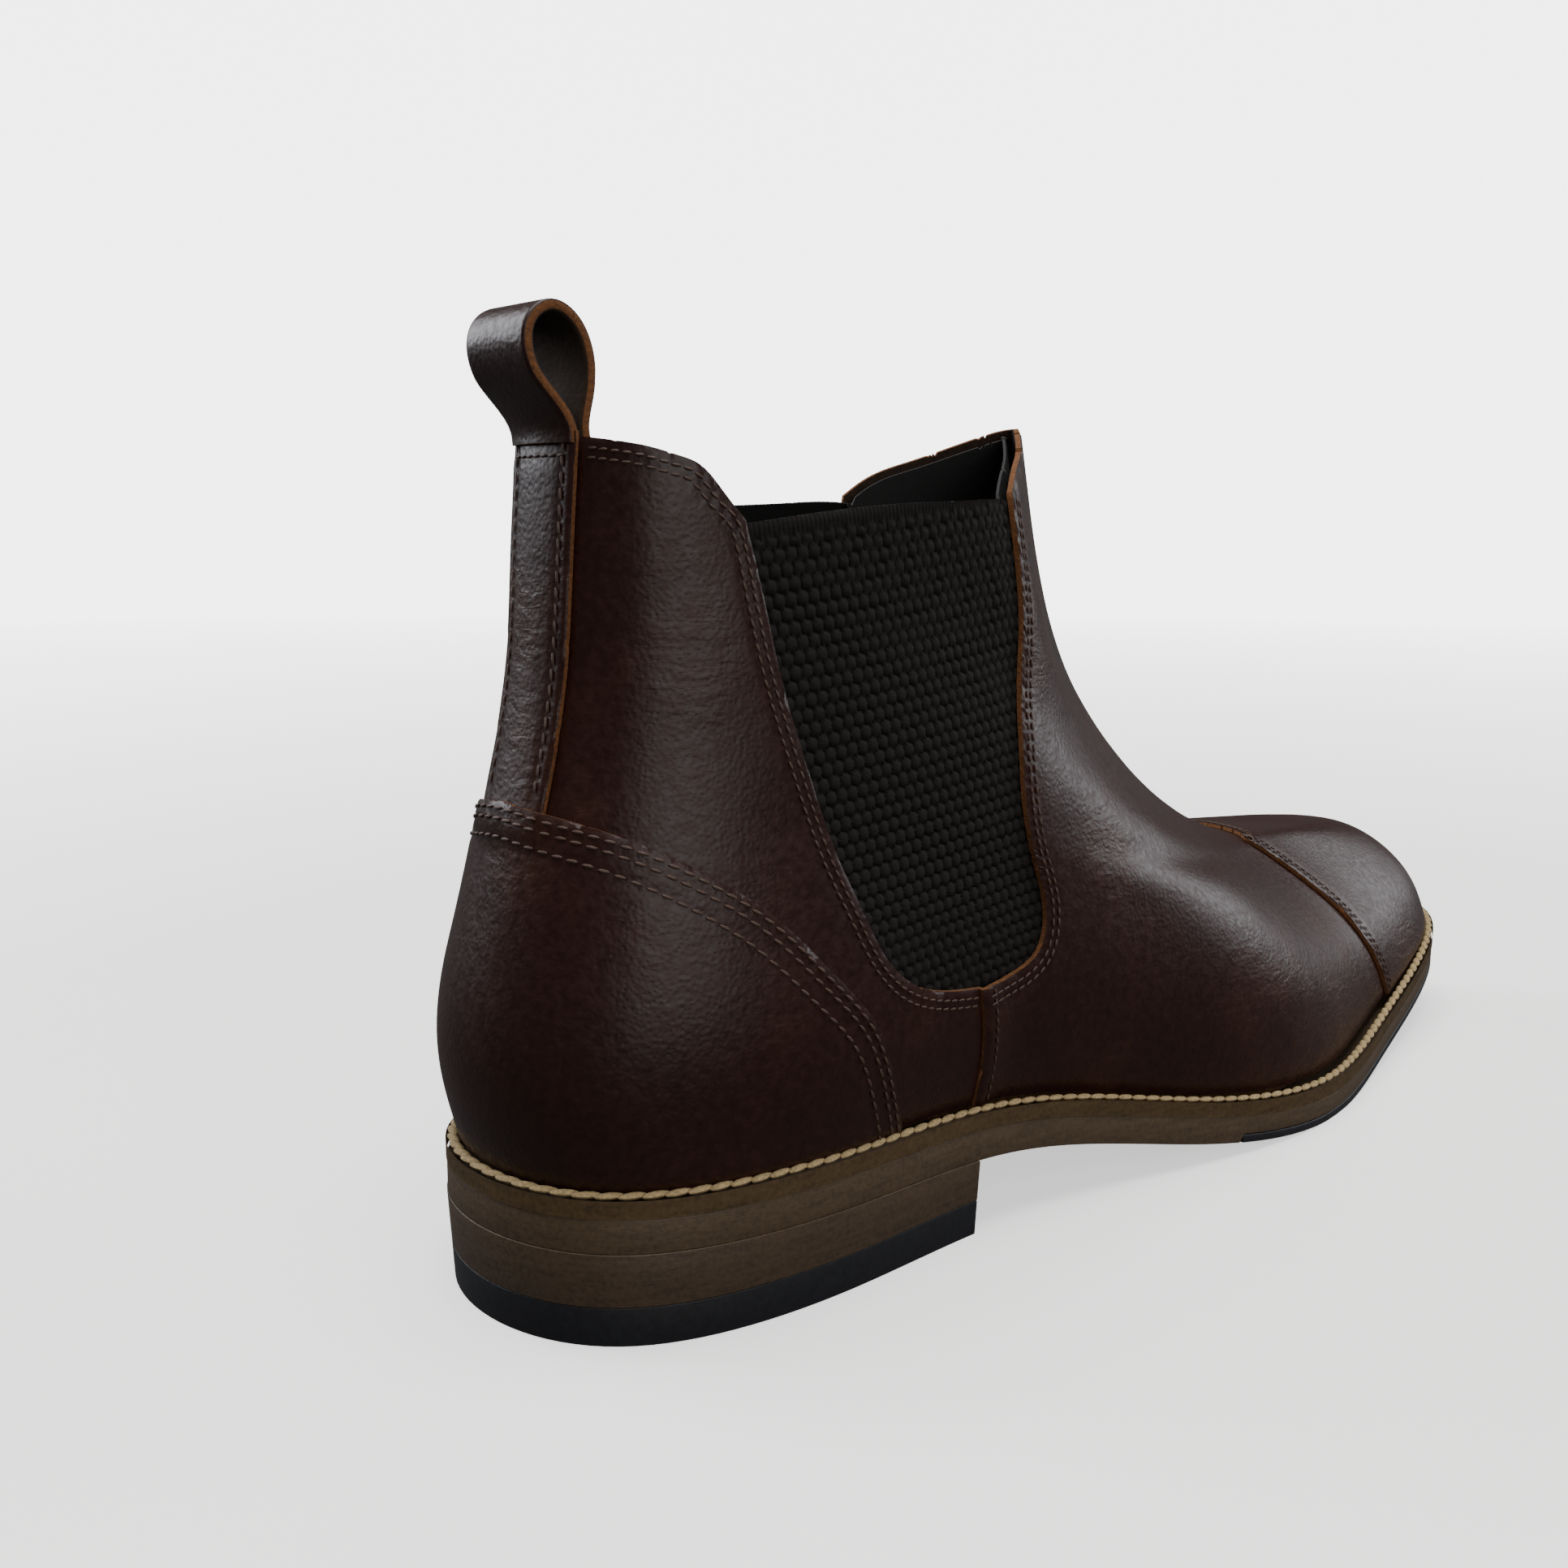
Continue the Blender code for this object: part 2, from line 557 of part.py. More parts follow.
def closed_tube(name, points, radius, finish):
    curve = bpy.data.curves.new(name, "CURVE")
    curve.dimensions = "3D"
    curve.bevel_depth = radius * MM
    curve.bevel_resolution = 1
    run = curve.splines.new("POLY")
    run.points.add(len(points) - 1)
    for slot, point in zip(run.points, points):
        slot.co = (*place(point), 1.0)
    run.use_cyclic_u = True
    curve.materials.append(finish)
    item = bpy.data.objects.new(name, curve)
    bpy.context.collection.objects.link(item)
    return item


def build_inside():
    feather = last_surface(plan(), 0.0 * plan())[:, :2]
    cork = material("cork", (0.30, 0.19, 0.10), 0.9)
    board = material("insole_board", (0.45, 0.34, 0.20), 0.8)
    core = inset(welt_edge(plan()), WELT_SHOWING + WELT_HIDDEN + 2 * GAP)
    filler = plate("cork_filler", core, lambda x: welt_top(x) - GAP,
                   lambda x: welt_top(x) - WELT_THICK, cork)
    depth = 1.5
    slot = strip("shank_slot", 44.0, 130.0, 13.0, lambda x: welt_top(x) + 1.0,
                 lambda x: welt_top(x) - GAP - depth - GAP, material("cutter", (1, 0, 0), 0.5))
    cut(filler, slot)
    strip("steel_shank", 44.4, 129.6, 12.0, lambda x: welt_top(x) - GAP - 0.2,
          lambda x: welt_top(x) - GAP - depth, material("shank_steel", (0.45, 0.46, 0.48), 0.35, 1))
    plate("insole_board", inset(feather, 5.8), lambda x: welt_top(x) + 2.0,
          lambda x: welt_top(x) + GAP, board)
    plate("sock_liner", inset(feather, 6.2), lambda x: welt_top(x) + 3.3,
          lambda x: welt_top(x) + 2.3, lining_leather())


def strip(name, start, end, width, top, bottom, finish):
    """A straight strip along the boot that follows the curve of the sole."""
    xs = np.linspace(start, end, 13)
    bm = bmesh.new()
    rings = []
    for x in xs:
        corners = ((-width / 2, top), (width / 2, top), (width / 2, bottom), (-width / 2, bottom))
        rings.append([bm.verts.new(place((x, y, float(height(x))))) for y, height in corners])
    for a, b in zip(rings, rings[1:]):
        for k in range(4):
            bm.faces.new((a[k], a[(k + 1) % 4], b[(k + 1) % 4], b[k]))
    for ring in (rings[0], rings[-1]):
        bm.faces.new(ring)
    return make_object(name, bm, finish)


def build_heel_nails():
    """Four nails that hold the top lift, driven up into the heel block."""
    steel = material("nail_steel", (0.5, 0.5, 0.5), 0.4, 1.0)
    lift, block = bpy.data.objects["top_lift"], bpy.data.objects["heel_block"]
    places = [(18.0, -17.0), (18.0, 14.5), (62.0, -21.0), (62.0, 18.5)]
    head_low, head_high, point_high = 1.0, 2.0, 12.5
    for number, (x, y) in enumerate(places, 1):
        bm = bmesh.new()
        profile = [(0.0, head_low), (NAIL_HEAD, head_low), (NAIL_HEAD, head_high),
                   (NAIL_SHANK, head_high), (NAIL_SHANK, point_high - 1.5), (0.25, point_high),
                   (0.0, point_high)]
        verts = [bm.verts.new((r * MM, 0, z * MM)) for r, z in profile]
        for a, b in zip(verts, verts[1:]):
            bm.edges.new((a, b))
        bmesh.ops.spin(bm, geom=bm.verts[:] + bm.edges[:], cent=(0, 0, 0), axis=(0, 0, 1),
                       angle=math.tau, steps=12, use_merge=False)
        bmesh.ops.remove_doubles(bm, verts=bm.verts, dist=1e-6)
        bmesh.ops.translate(bm, verts=bm.verts, vec=place((x, y, 0)))
        make_object(f"heel_nail_{number}", bm, steel)
        head_room = cylinder(f"head_hole_{number}", x, y, NAIL_HEAD + GAP, -1.0, head_high + GAP)
        shank_room = cylinder(f"shank_hole_{number}", x, y, NAIL_SHANK + GAP, head_high,
                              point_high + 1.0)
        cut(lift, head_room)
        cut(lift, shank_room)
        cut(block, shank_room)


def main():
    clear_scene()
    build_vamp()
    build_quarters()
    build_gores()
    build_overlays()
    build_linings()
    build_stiffeners()
    build_pull_loop()
    build_sole()
    build_inside()


main()
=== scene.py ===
"""A dark brown leather chelsea boot with elastic side gores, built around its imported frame.

Lengths are in millimetres on the drawing, where x runs from the back of the heel to the toe, y to
the wearer's left and z up. Every piece of the upper is cut to a pattern and laid on one surface,
the outside of the main leather. A point of a pattern has a turn, in degrees around the boot from
the heel (0) past the lateral side (90) to the toe (180) and back along the medial side, and a
rise, from the sole (0) to the collar (1).
"""
import math

import bmesh
import bpy
import numpy as np
from bpy.props import FloatProperty, FloatVectorProperty, IntProperty, PointerProperty
from mathutils import Matrix, Vector, noise


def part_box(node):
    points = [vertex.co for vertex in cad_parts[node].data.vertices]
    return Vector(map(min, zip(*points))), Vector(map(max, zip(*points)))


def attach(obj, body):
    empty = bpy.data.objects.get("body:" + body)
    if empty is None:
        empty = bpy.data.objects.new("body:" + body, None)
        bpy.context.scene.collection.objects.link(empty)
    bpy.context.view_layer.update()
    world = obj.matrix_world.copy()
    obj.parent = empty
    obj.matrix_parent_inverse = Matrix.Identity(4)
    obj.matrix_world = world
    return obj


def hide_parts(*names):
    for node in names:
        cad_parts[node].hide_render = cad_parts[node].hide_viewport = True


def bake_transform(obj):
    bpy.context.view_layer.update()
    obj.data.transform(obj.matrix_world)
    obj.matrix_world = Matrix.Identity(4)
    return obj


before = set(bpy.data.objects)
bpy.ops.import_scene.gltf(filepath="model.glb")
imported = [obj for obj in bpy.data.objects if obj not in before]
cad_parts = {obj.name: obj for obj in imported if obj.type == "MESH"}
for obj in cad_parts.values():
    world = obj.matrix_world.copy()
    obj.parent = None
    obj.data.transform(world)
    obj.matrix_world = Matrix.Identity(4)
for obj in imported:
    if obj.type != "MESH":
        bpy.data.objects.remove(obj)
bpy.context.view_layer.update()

bl_info = {
    "name": "Chelsea Boot",
    "version": (1, 0, 0),
    "blender": (4, 5, 0),
    "location": "3D View > Sidebar > Boot",
    "description": "Builds a leather chelsea boot with elastic gores and a stitched welt",
    "category": "Add Mesh",
}

# --- the frame's sizes ---
MM = 0.001
WELT_LOW, WELT_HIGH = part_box("welt")
STRIP_LOW, STRIP_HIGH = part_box("back_strip")
SOLE_LENGTH = (WELT_HIGH.x - WELT_LOW.x) / MM
MIDLINE = (STRIP_LOW.y + STRIP_HIGH.y) / 2
LIFT_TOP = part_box("top_lift")[1].z / MM
HEEL_LENGTH = (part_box("top_lift")[1].x - WELT_LOW.x) / MM
TREAD_START = (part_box("tread")[0].x - WELT_LOW.x) / MM

# --- the last ---
# Height of the welt's top above the floor, along the boot.
SOLE_X = [0, 60, 104, 150, 190, 210, SOLE_LENGTH]
SOLE_Z = [25.3, 24.6, 22.2, 13.4, 9.2, 9.4, 25.0]
SOLE_THICK = 9.2

# Each loop of the last leans from a point on the back seam to one on the front ridge, and its
# half widths are given at stations along it, as the half width of the ellipse that passes there.
STATION = [0, 0.06, 0.16, 0.30, 0.46, 0.62, 0.76, 0.90, 1.0]
RISE = [0, 0.14, 0.30, 0.50, 0.70, 0.86, 1.0]
BACK = [(4, 25.3), (0, 44), (3.4, 64), (8.4, 84), (13.2, 106), (15, 126), (16.4, 146)]
FRONT = [(304, 25), (298.6, 39), (274, 53), (220.5, 56), (166.5, 82.5), (141, 113), (130, 150)]
BOW = [3, 6.5, 11.5, 11.5, 6.5, 4, 0]
LATERAL = [
    [72, 58, 44, 33, 37, 42.5, 36.5, 34, 37],
    [70, 60, 47.5, 37.5, 40, 43, 33.5, 29.5, 35.5],
    [64, 56, 46, 38.5, 37.5, 37, 21, 17, 26],
    [56, 49, 41.5, 37, 35.5, 35.5, 32, 23, 25.5],
    [48, 42, 36.5, 33.5, 32.5, 32, 29, 24.5, 22.5],
    [45, 38.5, 33, 30.5, 29.5, 30, 30, 22.5, 21.5],
    [45, 37.5, 31, 28.5, 28, 27.5, 25, 19, 10],
]
MEDIAL = [
    [72, 58, 41, 26, 26, 40.5, 46.5, 42, 41],
    [70, 60, 45, 32, 32, 43, 45, 40.5, 39.5],
    [64, 56, 44, 35, 34, 36.5, 31.5, 28.5, 31.5],
    [56, 49, 40, 35, 34, 32.5, 28, 23.5, 26.5],
    [48, 42, 36, 33, 32, 31, 28, 25, 23],
    [45, 38.5, 33, 30.5, 30, 29, 26.5, 23.5, 22.5],
    [45, 37.5, 31, 28.5, 28, 27.5, 25, 19, 10],
]
WELT_LATERAL = [76, 62.5, 48, 37, 41, 46.5, 40.5, 38, 40]
WELT_MEDIAL = [76, 62.5, 45, 30, 30, 44.5, 50.5, 46, 44]
WELT_BOW = 3.0
SAG_RISE = 0.55
# Rise of the lower edge of every panel, just above the welt.
FOOT = 0.004

# --- pattern lines, as (turn, rise), drawn for the lateral side ---
TOPLINE = [(0, .992), (12, .990), (21, .985), (29.5, .979), (37.5, .970), (43, .959), (48, .932),
           (51.5, .912)]
GORE_REAR = [(51.5, .912), (53.2, .848), (53.7, .736), (54, .62), (53.5, .471), (53.4, .371),
             (55, .262), (57.2, .223), (59.5, .204), (62.3, .194), (65.6, .19)]
GORE_FRONT = [(65.6, .19), (67.9, .197), (70.4, .211), (72.5, .234), (73.9, .266), (76.5, .353),
              (87.5, .582), (98.9, .71), (109.9, .811), (116.4, .89), (119.1, .952)]
FRONT_LIP = [(119.1, .952), (124, .965), (135, .980), (150, .994), (165, 1.002), (180, 1.003)]
SIDE_SEAM = [(64.5, FOOT), (65.6, .10), (65.6, .19)]
COUNTER_TOP = [(0, .521), (10, .513), (22, .496), (32.6, .455), (41.1, .377), (47.5, .266),
               (52.2, .181), (54.3, .077), (54.8, FOOT)]
CAP_SEAM = [(129.4, FOOT), (128.2, .07), (127.3, .13), (127, .185), (126.8, .24), (127.8, .30),
            (133.5, .38), (146, .445), (162, .485), (180, .50)]
STRIP_SIDE = [(9.1, .53), (9.7, .62), (10.5, .74), (11, .86), (11.3, .996)]
GORE_OUTER_EDGE = [(48.5, .905), (49.8, .848), (50.2, .736), (50.5, .62), (50, .471), (49.8, .371),
                   (51.2, .25), (53.8, .19), (57.5, .16), (62.3, .148), (66, .146), (70, .155),
                   (74.5, .185), (77.5, .26), (80.5, .353), (91.5, .57), (102.5, .69), (113, .79),
                   (119.8, .87), (123.5, .945)]
GORE_TOP = [(123.5, .945), (119.2, .947), (104.3, .944), (82.4, .935), (65, .922), (48.5, .905)]

# The flat pattern, in which a piece is cut: rough millimetres for a degree and for a rise of 1.
FLAT = np.array([2.0, 130.0])

# --- layers, edges and stitches, in millimetres ---
# How far the outer face of each layer is outside the last's surface.
CAP_OUT, COUNTER_OUT, STRAP_OUT = 1.3, 1.4, 1.5
WEBBING_OUT, LINING_OUT = -1.75, -3.0
# How much a panel is lifted where it lies on the edge of another.
OVERLAP = 1.1
# A cut edge is rounded over EDGE_ROUND, and flattened to this share of a full quarter circle.
EDGE_ROUND, EDGE_FULLNESS = 0.55, 0.7
# A seam pulls the leather in by SEAM_DEPTH, over SEAM_WIDE on both sides.
SEAM_DEPTH, SEAM_WIDE = 0.22, 0.7
# Share of its pitch that a stitch fills, its thickness for a width of 1, and its height on leather.
STITCH_FILL, STITCH_FLAT, PROUD = 0.80, 0.75, 0.02
# A knob of the elastic stands KNOB_HIGH above its foot, which is sunk by KNOB_SUNK. The bound top
# edge is BINDING high, with ribs RIB_PITCH apart.
KNOB_HIGH, KNOB_SUNK = 0.55, 0.3
BINDING, RIB_PITCH = 3.0, 0.9
# The lining is out of sight for the most part, so its mesh is coarser.
LINING_CELL = 3.0


def rgb(code):
    """A colour written as sRGB hex, as linear red, green and blue."""
    parts = [int(code[i:i + 2], 16) / 255 for i in (1, 3, 5)]
    return tuple(p / 12.92 if p <= 0.04045 else ((p + 0.055) / 1.055) ** 2.4 for p in parts)


def length(name, text, millimetres):
    return FloatProperty(name=name, description=text, default=millimetres * MM, unit="LENGTH",
                         subtype="DISTANCE", precision=5)


def colour(name, text, code):
    return FloatVectorProperty(name=name, description=text, default=rgb(code), min=0, max=1,
                               subtype="COLOR")


class BootUpperSizes(bpy.types.PropertyGroup):
    leather: length("Leather", "Thickness of the vamp and quarters", 1.4)
    overlay: length("Overlay", "Thickness of the cap, counter cover and strap", 1.2)
    lining: length("Lining", "Thickness of the lining", 0.9)
    webbing: length("Webbing", "Thickness of the elastic", 1.1)
    cell: length("Cell", "Spacing of the mesh on the leather pieces", 1.6)
    thread: length("Thread", "Width of a sewing stitch", 0.5)
    short_pitch: length("Short pitch", "Length of a stitch along the collar and gores", 2.0)
    long_pitch: length("Long pitch", "Length of a stitch on the counter and strap", 2.6)
    knob_width: length("Knob width", "Width of one knob of the elastic's weave", 2.3)
    knob_height: length("Knob height", "Height of one knob of the elastic's weave", 2.4)
    knobs: IntProperty(name="Samples per knob", description="Mesh points across one knob",
                       default=5, min=3)


class BootSoleSizes(bpy.types.PropertyGroup):
    welt: length("Welt", "Thickness of the welt", 3.2)
    outsole: length("Outsole", "Thickness of the outsole", 5.9)
    tread: length("Tread", "Thickness of the rubber half sole", 1.8)
    edge: length("Edge round", "Rounding of the sole's edges", 0.5)
    stitch_pitch: length("Stitch pitch", "Spacing of the stitches on the welt", 3.7)
    stitch_long: length("Stitch length", "Length of a stitch on the welt", 5.0)
    stitch_wide: length("Stitch width", "Width of a stitch on the welt", 1.7)


class BootColours(bpy.types.PropertyGroup):
    leather: colour("Leather", "Grain side of the upper", "#2E1510")
    leather_warm: colour("Rubbed leather", "Grain side where the dye is thin", "#3D2215")
    cut_edge: colour("Cut edge", "Raw edge of the upper's leather", "#6B421F")
    flesh: colour("Flesh side", "Back of the strap's leather", "#2E1E11")
    webbing: colour("Elastic", "Crests of the elastic's weave", "#1B1816")
    lining: colour("Lining", "Lining leather", "#0D0C0C")
    thread: colour("Thread", "Sewing thread of the upper", "#4B352B")
    welt: colour("Welt", "Welt leather", "#6F5A3D")
    welt_thread: colour("Welt thread", "Thread on the welt", "#A58F66")
    stack: colour("Sole edge", "Edge of the outsole", "#50402E")
    heel: colour("Heel stack", "Edge of the stacked heel", "#4A3B2C")
    rubber: colour("Rubber", "Top lift and tread", "#15161C")
    floor: colour("Floor", "Floor under the boot", "#F4F3F1")


class BootStage(bpy.types.PropertyGroup):
    focal: FloatProperty(name="Focal length", description="Lens of the camera, in millimetres",
                         default=37.23, min=10, subtype="DISTANCE_CAMERA")
    heading: FloatProperty(name="Heading", description="Turn of the view from the boot's length",
                           default=0.856, subtype="ANGLE")
    pitch: FloatProperty(name="Pitch", description="Tilt of the view", default=-0.157,
                         subtype="ANGLE")
    roll: FloatProperty(name="Roll", description="Roll of the camera", default=0.005,
                        subtype="ANGLE")
    floor_size: length("Room size", "Radius of the floor and height of the wall", 3500)


# --- the last's surface ---
def spline(knots, values, at):
    """Natural cubic spline through the values (numbers or rows of numbers) at the knots."""
    knots, values, at = np.array(knots, float), np.array(values, float), np.asarray(at, float)
    count, step = len(knots), np.diff(knots)
    matrix, right = np.eye(count), np.zeros_like(values)
    for i in range(1, count - 1):
        matrix[i, i - 1:i + 2] = step[i - 1], 2 * (step[i - 1] + step[i]), step[i]
        right[i] = 6 * ((values[i + 1] - values[i]) / step[i]
                        - (values[i] - values[i - 1]) / step[i - 1])
    bend = np.linalg.solve(matrix, right)
    cell = np.clip(np.searchsorted(knots, at, side="right") - 1, 0, count - 2)
    width = step[cell]
    low, high = (knots[cell + 1] - at) / width, (at - knots[cell]) / width
    if values.ndim > 1:
        low, high, width = low[..., None], high[..., None], width[..., None]
    curve = ((low ** 3 - low) * bend[cell] + (high ** 3 - high) * bend[cell + 1]) * width ** 2 / 6
    return low * values[cell] + high * values[cell + 1] + curve


def welt_top(x):
    return spline(SOLE_X, SOLE_Z, np.clip(x, -3.0, SOLE_LENGTH + 3.0))


def sole_bottom(x):
    return np.maximum(welt_top(x) - SOLE_THICK, 0.0)


def last_surface(turn, rise):
    """Points of the last's surface at these turns (degrees) and rises."""
    angle = np.radians(np.asarray(turn, float))
    rise = np.asarray(rise, float) + 0 * angle
    along = (1 - np.cos(angle)) / 2
    back, front = spline(RISE, BACK, rise), spline(RISE, FRONT, rise)
    x = back[..., 0] + (front[..., 0] - back[..., 0]) * along
    z = back[..., 1] + (front[..., 1] - back[..., 1]) * along
    share = spline(STATION, np.eye(len(STATION)), along)
    lateral = (share * spline(RISE, LATERAL, rise)).sum(-1)
    medial = (share * spline(RISE, MEDIAL, rise)).sum(-1)
    half = np.where(np.sin(angle) >= 0, lateral, medial)
    y = spline(RISE, BOW, rise) * along ** 2 - half * np.sin(angle)
    straight = BACK[0][1] + (FRONT[0][1] - BACK[0][1]) * along
    z = z + (welt_top(x) - straight) * np.clip(1 - rise / SAG_RISE, 0, 1) ** 1.5
    return np.stack([x, y, z], -1)


def tangents(turn, rise):
    """How far the surface goes for one degree and for a rise of 1, and its outward normal."""
    turn, rise = np.asarray(turn, float), np.asarray(rise, float)
    around = last_surface(turn + 0.5, rise) - last_surface(turn - 0.5, rise)
    upward = (last_surface(turn, rise + 0.005) - last_surface(turn, rise - 0.005)) / 0.01
    normal = np.cross(around, upward)
    return around, upward, normal / np.linalg.norm(normal, axis=-1, keepdims=True)


def skin(turn, rise, outside=0.0):
    """Points this far outside the surface."""
    outside = np.asarray(outside, float)
    return last_surface(turn, rise) + tangents(turn, rise)[2] * outside[..., None]


def welt_edge(turn):
    """The welt's outer edge in plan."""
    angle = np.radians(np.asarray(turn, float))
    along = (1 - np.cos(angle)) / 2
    share = spline(STATION, np.eye(len(STATION)), along)
    half = np.where(np.sin(angle) >= 0, share @ np.array(WELT_LATERAL, float),
                    share @ np.array(WELT_MEDIAL, float))
    return np.stack([SOLE_LENGTH * along, WELT_BOW * along ** 2 - half * np.sin(angle)], -1)


def inset(outline, amount):
    """A closed outline in plan, moved inward."""
    tangent = np.roll(outline, -1, axis=0) - np.roll(outline, 1, axis=0)
    tangent /= np.linalg.norm(tangent, axis=1, keepdims=True)
    return outline + np.stack([-tangent[:, 1], tangent[:, 0]], -1) * amount


def place(point):
    """A drawing point as a point of the frame, in metres."""
    return Vector((WELT_LOW.x + point[0] * MM, MIDLINE + point[1] * MM, point[2] * MM))


def to_metres(points):
    return np.asarray(points) * MM + np.array([WELT_LOW.x, MIDLINE, 0.0])


# --- pattern lines ---
def run_of(points):
    """The distance walked along a polyline, at each of its points."""
    steps = np.linalg.norm(np.diff(points, axis=0), axis=1)
    return np.concatenate([[0], np.cumsum(steps)])


def trace(line, spacing=2.0):
    """Close points along a smooth curve through a pattern line."""
    line = np.array(line, float)
    run = run_of(line * FLAT)
    count = max(2, int(round(run[-1] / spacing)))
    return spline(run, line, np.linspace(0, run[-1], count + 1))


def outline_of(*lines):
    """One closed outline from pattern lines that follow each other, without repeated corners."""
    return np.concatenate([trace(line)[:-1] for line in lines])


def mirrored(line):
    """The same line on the other side of the heel, walked the other way."""
    return [(-turn, rise) for turn, rise in reversed(line)]


def over_toe(line):
    """The same line on the other side of the toe, walked the other way."""
    return [(360 - turn, rise) for turn, rise in reversed(line)]


def shifted(line, turn=0.0, rise=0.0):
    return [(t + turn, r + rise) for t, r in line]


def beside(line, distance):
    """A traced line moved along the surface, to the left of the way it is walked from outside."""
    path = np.array(line, float)
    for _ in range(2):
        around, upward, normal = tangents(path[:, 0], path[:, 1])
        way = np.gradient(last_surface(path[:, 0], path[:, 1]), axis=0)
        way /= np.linalg.norm(way, axis=1, keepdims=True)
        move = np.cross(normal, way) * distance / 2
        steps = [np.linalg.lstsq(np.stack([a, u], 1), m, rcond=None)[0]
                 for a, u, m in zip(around, upward, move)]
        path = path + np.array(steps)
    return path


def distance_to(points, lines):
    """How far each point is from the nearest of some open polylines."""
    nearest = np.full(len(points), 1e9)
    for line in lines:
        start, step = line[:-1], np.diff(line, axis=0)
        long = np.maximum((step ** 2).sum(1), 1e-12)
        for low in range(0, len(points), 4000):
            part = points[low:low + 4000, None, :] - start
            share = np.clip((part * step).sum(2) / long, 0, 1)
            gap = np.linalg.norm(part - share[..., None] * step, axis=2).min(1)
            nearest[low:low + 4000] = np.minimum(nearest[low:low + 4000], gap)
    return nearest


# --- making pieces ---
def cut_across(bm, axis, at, way=1, **settings):
    """Cut a bmesh along a plane across x (axis 0) or y (axis 1)."""
    normal = Vector((way * (axis == 0), way * (axis == 1), 0))
    bmesh.ops.bisect_plane(bm, geom=bm.verts[:] + bm.edges[:] + bm.faces[:],
                           plane_co=normal * way * at, plane_no=normal, **settings)


def thicken(bm, by):
    """Give a flat face its thickness, up or down."""
    raised = bmesh.ops.extrude_face_region(bm, geom=bm.faces[:], use_keep_orig=True)
    moved = [item for item in raised["geom"] if isinstance(item, bmesh.types.BMVert)]
    bmesh.ops.translate(bm, verts=moved, vec=(0, 0, by))


def cut_out(outline, cell, thickness=1.0):
    """A flat slab, cut to an outline and divided into cells, with its back at z = 0."""
    bm = bmesh.new()
    bm.faces.new([bm.verts.new((u, v, 0)) for u, v in outline])
    low, high = outline.min(0), outline.max(0)
    for axis in (0, 1):
        for at in np.arange(math.ceil(low[axis] / cell) * cell, high[axis], cell):
            cut_across(bm, axis, at, dist=cell * 0.02)
    bmesh.ops.remove_doubles(bm, verts=bm.verts, dist=cell * 0.22)
    bmesh.ops.triangulate(bm, faces=[face for face in bm.faces if len(face.verts) > 4])
    thicken(bm, thickness)
    return bm


def coordinates(bm):
    return np.array([vert.co for vert in bm.verts], float)


def mark_rim(bm, layer, slot):
    """Give the faces that join the front and the back their own material slot."""
    for face in bm.faces:
        levels = {layer[vert.index] for vert in face.verts}
        if len(levels) > 1:
            face.material_index = slot
        elif levels == {0}:
            face.material_index = 2


def move_to(bm, points):
    for vert, point in zip(bm.verts, points):
        vert.co = point


def finish_piece(name, bm, materials, nodes=()):
    """Turn a bmesh in metres into a smooth piece that stands for these CAD nodes."""
    bmesh.ops.recalc_face_normals(bm, faces=bm.faces)
    mesh = bpy.data.meshes.new(name)
    bm.to_mesh(mesh)
    bm.free()
    for material in materials:
        mesh.materials.append(material)
    mesh.shade_smooth()
    mesh.set_sharp_from_angle(angle=math.radians(50))
    piece = bpy.data.objects.new(name, mesh)
    bpy.context.scene.collection.objects.link(piece)
    if nodes:
        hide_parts(*nodes)
    return piece


def smooth(share):
    return share * share * (3 - 2 * share)


def relief(points, amount=0.12, size=14.0):
    """Slow unevenness of worked leather, the same for every layer at one place."""
    return np.array([noise.noise(Vector(p) / size) for p in points]) * amount


def leather_piece(name, node, outline, outside, thick, rows=(), lift=None, lining=False):
    """A panel of leather on the last, rounded at its cut edges and pulled in along its stitches.

    rows are the traced rows of stitches, and lift is a function of turn, rise and the points of
    the surface that says how far the panel is lifted off it.
    """
    cell = LINING_CELL if lining else bpy.context.scene.boot_upper.cell / MM
    bm = cut_out(outline * FLAT, cell)
    flat = coordinates(bm)
    turn, rise, layer = flat[:, 0] / FLAT[0], flat[:, 1] / FLAT[1], flat[:, 2].round()
    surface = last_surface(turn, rise)
    closed = np.concatenate([outline, outline[:1]])
    edge = distance_to(surface, [last_surface(closed[:, 0], closed[:, 1])])
    near = np.clip(1 - edge / EDGE_ROUND, 0, 1)
    height = outside - EDGE_ROUND * (1 - np.sqrt(1 - near ** 2)) * EDGE_FULLNESS * layer
    if len(rows):
        seam = distance_to(surface, [last_surface(r[:, 0], r[:, 1]) for r in rows])
        height -= SEAM_DEPTH * np.exp(-(seam / SEAM_WIDE) ** 2) * layer
    if lift is not None:
        height += lift(turn, rise, surface)
    height = height - (1 - layer) * thick + relief(surface)
    mark_rim(bm, layer, 1)
    move_to(bm, to_metres(skin(turn, rise, height)))
    if lining:
        return finish_piece(name, bm, [finish("lining")] * 3, [node])
    return finish_piece(name, bm, leather_set(), [node])


def arc_places(line, pitch, inset_ends=0.5):
    """Turn and rise at even distances along a traced line."""
    run = run_of(last_surface(line[:, 0], line[:, 1]))
    count = max(1, int((run[-1] - 2 * inset_ends) / pitch))
    at = (run[-1] - count * pitch) / 2 + pitch * (np.arange(count) + 0.5)
    return np.stack([np.interp(at, run, line[:, 0]), np.interp(at, run, line[:, 1])], 1)


